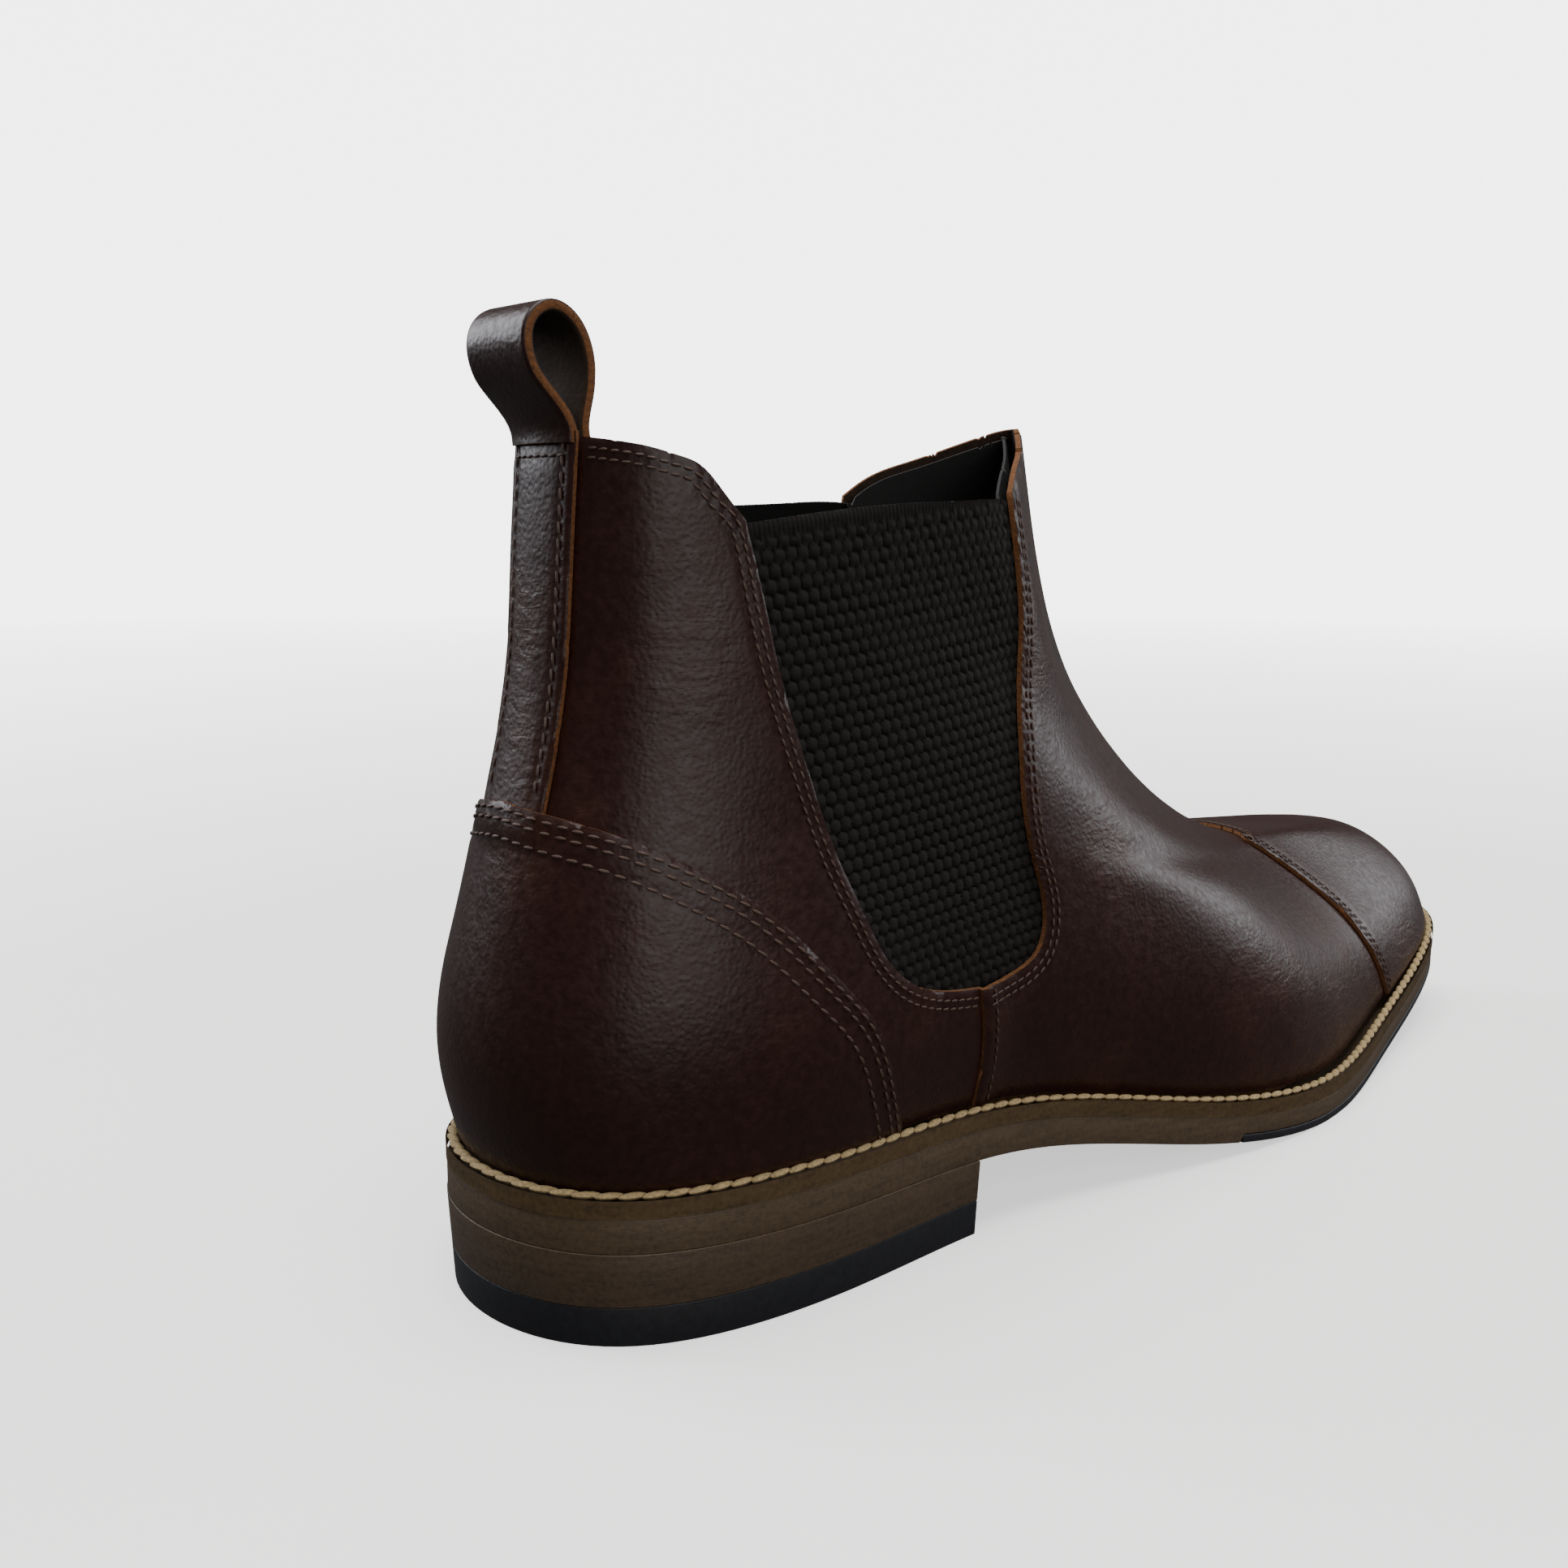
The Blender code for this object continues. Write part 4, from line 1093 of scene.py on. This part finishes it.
class BOOT_OT_sole(bpy.types.Operator):
    """Build the outsole, tread, heel and inner boards"""
    bl_idname = "boot.sole"
    bl_label = "Sole and heel"

    def execute(self, context):
        sizes = context.scene.boot_sole
        welt, thick, tread = sizes.welt / MM, sizes.outsole / MM, sizes.tread / MM
        edge = sizes.edge / MM
        outline = inset(plan_outline(), 0.15)

        def thin_front(points):
            low = points[:, 2] < -thick / 2
            front = points[:, 0] > TREAD_START
            points[:, 2] = np.where(low & front, points[:, 2] + tread + JOINT, points[:, 2])
            return points

        bm = slab(outline, thick, edge)
        bend_slab(bm, lambda x: welt_top(x) - welt - JOINT, thin_front)
        bend_at_ball(finish_piece("outsole_leather", bm, [finish("stack")],
                                  ["outsole"]))
        bm = slab(outline, tread, edge * 0.6, keep=(TREAD_START, SOLE_LENGTH + 1))
        bend_slab(bm, lambda x: sole_bottom(x) + tread)
        bend_at_ball(finish_piece("tread_rubber", bm, [finish("rubber")],
                                  ["tread"]))
        self.build_heel(edge)
        self.build_inside()
        return {"FINISHED"}

    def build_heel(self, edge):
        outline = plan_outline()
        seat = SOLE_Z[0] - SOLE_THICK

        def taper(base):
            def squeeze(points):
                depth = np.clip((seat - (points[:, 2] + base)) / seat, 0, 1)
                points[:, 1] = points[:, 1] * (1 - 0.030 * depth)
                points[:, 0] = points[:, 0] + 1.0 * depth * np.clip(1 - points[:, 0] / 40, 0, 1)
                return points
            return squeeze

        def block_top(x):
            return welt_top(x) - SOLE_THICK + 0.1

        block = slab(outline, seat - LIFT_TOP, edge * 0.3, keep=(-1, HEEL_LENGTH))
        points = coordinates(block)
        share = -points[:, 2] / (seat - LIFT_TOP)
        points = taper(seat)(points)
        points[:, 2] = block_top(points[:, 0]) * (1 - share) + (LIFT_TOP + JOINT) * share
        move_to(block, to_metres(points))
        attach(finish_piece("heel_stack", block, [finish("heel")],
                             ["heel_block"]), "root")
        lift = slab(outline, LIFT_TOP, edge, keep=(-1, HEEL_LENGTH))
        bend_slab(lift, lambda x: 0 * x + LIFT_TOP, taper(LIFT_TOP))
        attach(finish_piece("heel_top_lift", lift, [finish("rubber")],
                             ["top_lift"]), "root")

    def build_inside(self):
        # Each board: its name, margin, thickness, top above the welt, look, slot and node.
        feather = last_surface(np.arange(0, 360, 3.0), np.zeros(120))[:, :2]
        parts = [("insole_fibre_board", 5.0, 1.6, 2.0, "board", "fibre_board", "insole_board"),
                 ("sock_lining", 5.2, 0.9, 3.0, "lining", "lining", "sock_liner")]
        for name, margin, thick, top, look, slot, node in parts:
            bm = slab(inset(feather, margin), thick, 0.2)
            bend_slab(bm, lambda x, top=top: welt_top(x) + top)
            bend_at_ball(finish_piece(name, bm, [finish(look)], [node]))
        bm = slab(inset(plan_outline(), CORK_MARGIN), 2.8, 0.0)
        bend_slab(bm, lambda x: welt_top(x) - 0.2)
        bend_at_ball(finish_piece("cork_filling", bm, [finish("cork")], ["cork_filler"]))
        for node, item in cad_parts.items():
            steel = node.startswith("heel_nail") or node == "steel_shank"
            if steel or node in ("heel_stiffener", "toe_puff"):
                item.data.materials.clear()
                item.data.materials.append(finish("steel" if steel else "board"))


# --- the stage ---
class BOOT_OT_stage(bpy.types.Operator):
    """Lay the floor, hang the lights and set the camera"""
    bl_idname = "boot.stage"
    bl_label = "Floor, lights and camera"

    def execute(self, context):
        stage = context.scene.boot_stage
        self.lay_floor(context, stage)
        self.hang_lights(context)
        self.set_camera(context, stage)
        return {"FINISHED"}

    def lay_floor(self, context, stage):
        """A round floor that curves up into a wall and a ceiling, turned from half its section."""
        bm = bmesh.new()
        radius, bend = stage.floor_size, 0.35 * stage.floor_size
        curve = [(radius - bend * (1 - math.sin(t)), bend * (1 - math.cos(t)))
                 for t in np.linspace(0, math.pi / 2, 13)]
        section = [(0, 0), (radius / 3, 0), *curve, (radius, radius), (0, 1.3 * radius)]
        verts = [bm.verts.new((x, 0, z)) for x, z in section]
        edges = [bm.edges.new(pair) for pair in zip(verts, verts[1:])]
        bmesh.ops.spin(bm, geom=verts + edges, cent=(0, 0, 0), axis=(0, 0, 1), angle=math.tau,
                       steps=64, use_merge=True)
        bmesh.ops.remove_doubles(bm, verts=bm.verts, dist=0.001)
        bmesh.ops.recalc_face_normals(bm, faces=bm.faces)
        bmesh.ops.reverse_faces(bm, faces=bm.faces)
        mesh = bpy.data.meshes.new("floor")
        bm.to_mesh(mesh)
        bm.free()
        mesh.shade_smooth()
        mesh.materials.append(finish("floor"))
        room = bpy.data.objects.new("floor", mesh)
        # The camera sees the room, but the boot is lit and mirrored in by the lamps alone.
        room.visible_glossy = False
        room.visible_diffuse = False
        context.scene.collection.objects.link(room)

    def hang_lights(self, context):
        world = bpy.data.worlds.new("studio")
        world.use_nodes = True
        background = world.node_tree.nodes["Background"]
        background.inputs["Color"].default_value = (1.0, 1.0, 1.0, 1.0)
        background.inputs["Strength"].default_value = 0.12
        context.scene.world = world
        boot = Vector((0, 0, 0.07))
        lamps = [("window", (-0.7, 1.3, 0.8), 0.9, 17, (0.93, 0.95, 1.0)),
                 ("overhead", (-0.1, 0.0, 1.9), 1.5, 42, (1.0, 0.99, 0.97)),
                 ("toe", (1.5, -0.5, 0.6), 0.8, 8, (0.95, 0.97, 1.0)),
                 ("fill", (-0.5, -1.7, 0.8), 1.5, 17, (1.0, 0.97, 0.94))]
        for name, spot, size, power, tint in lamps:
            lamp = bpy.data.lights.new(name, "AREA")
            lamp.energy = power
            lamp.size = size
            lamp.color = tint
            item = bpy.data.objects.new(name, lamp)
            item.location = spot
            aim = boot - Vector(spot)
            item.rotation_euler = aim.to_track_quat("-Z", "Y").to_euler()
            context.scene.collection.objects.link(item)

    def set_camera(self, context, stage):
        ahead = Vector((math.cos(stage.heading) * math.cos(stage.pitch),
                        math.sin(stage.heading) * math.cos(stage.pitch), math.sin(stage.pitch)))
        right = ahead.cross(Vector((0, 0, 1))).normalized()
        above = right.cross(ahead)
        tilt = Matrix.Rotation(-stage.roll, 3, ahead)
        right, above = tilt @ right, tilt @ above
        lens = bpy.data.cameras.new("camera")
        lens.lens = stage.focal
        lens.sensor_width = 36.0
        lens.clip_start = 0.01
        camera = bpy.data.objects.new("camera", lens)
        turn = Matrix((right, above, -ahead)).transposed().to_4x4()
        camera.matrix_world = Matrix.Translation(place((-128.4, -225.7, 130.65))) @ turn
        context.scene.collection.objects.link(camera)
        context.scene.camera = camera


STEPS = (BOOT_OT_stage, BOOT_OT_vamp, BOOT_OT_quarters, BOOT_OT_counter, BOOT_OT_toe_cap,
         BOOT_OT_strap, BOOT_OT_gores, BOOT_OT_linings, BOOT_OT_stitches, BOOT_OT_welt,
         BOOT_OT_sole)
GROUPS = (("boot_upper", BootUpperSizes), ("boot_sole", BootSoleSizes),
          ("boot_colours", BootColours), ("boot_stage", BootStage))


class BOOT_PT_panel(bpy.types.Panel):
    """Sizes, colours and steps of the boot"""
    bl_idname = "BOOT_PT_panel"
    bl_label = "Chelsea boot"
    bl_space_type = "VIEW_3D"
    bl_region_type = "UI"
    bl_category = "Boot"

    def draw(self, context):
        for name, group in GROUPS:
            box = self.layout.box()
            for prop in group.__annotations__:
                box.prop(getattr(context.scene, name), prop)
        for step in STEPS:
            self.layout.operator(step.bl_idname)


def register():
    for name, group in GROUPS:
        bpy.utils.register_class(group)
        setattr(bpy.types.Scene, name, PointerProperty(type=group))
    for item in (*STEPS, BOOT_PT_panel):
        bpy.utils.register_class(item)


def unregister():
    for item in (BOOT_PT_panel, *reversed(STEPS)):
        bpy.utils.unregister_class(item)
    for name, group in reversed(GROUPS):
        delattr(bpy.types.Scene, name)
        bpy.utils.unregister_class(group)


def main():
    register()
    for step in STEPS:
        group, name = step.bl_idname.split(".")
        getattr(getattr(bpy.ops, group), name)()


if __name__ == "__main__":
    main()
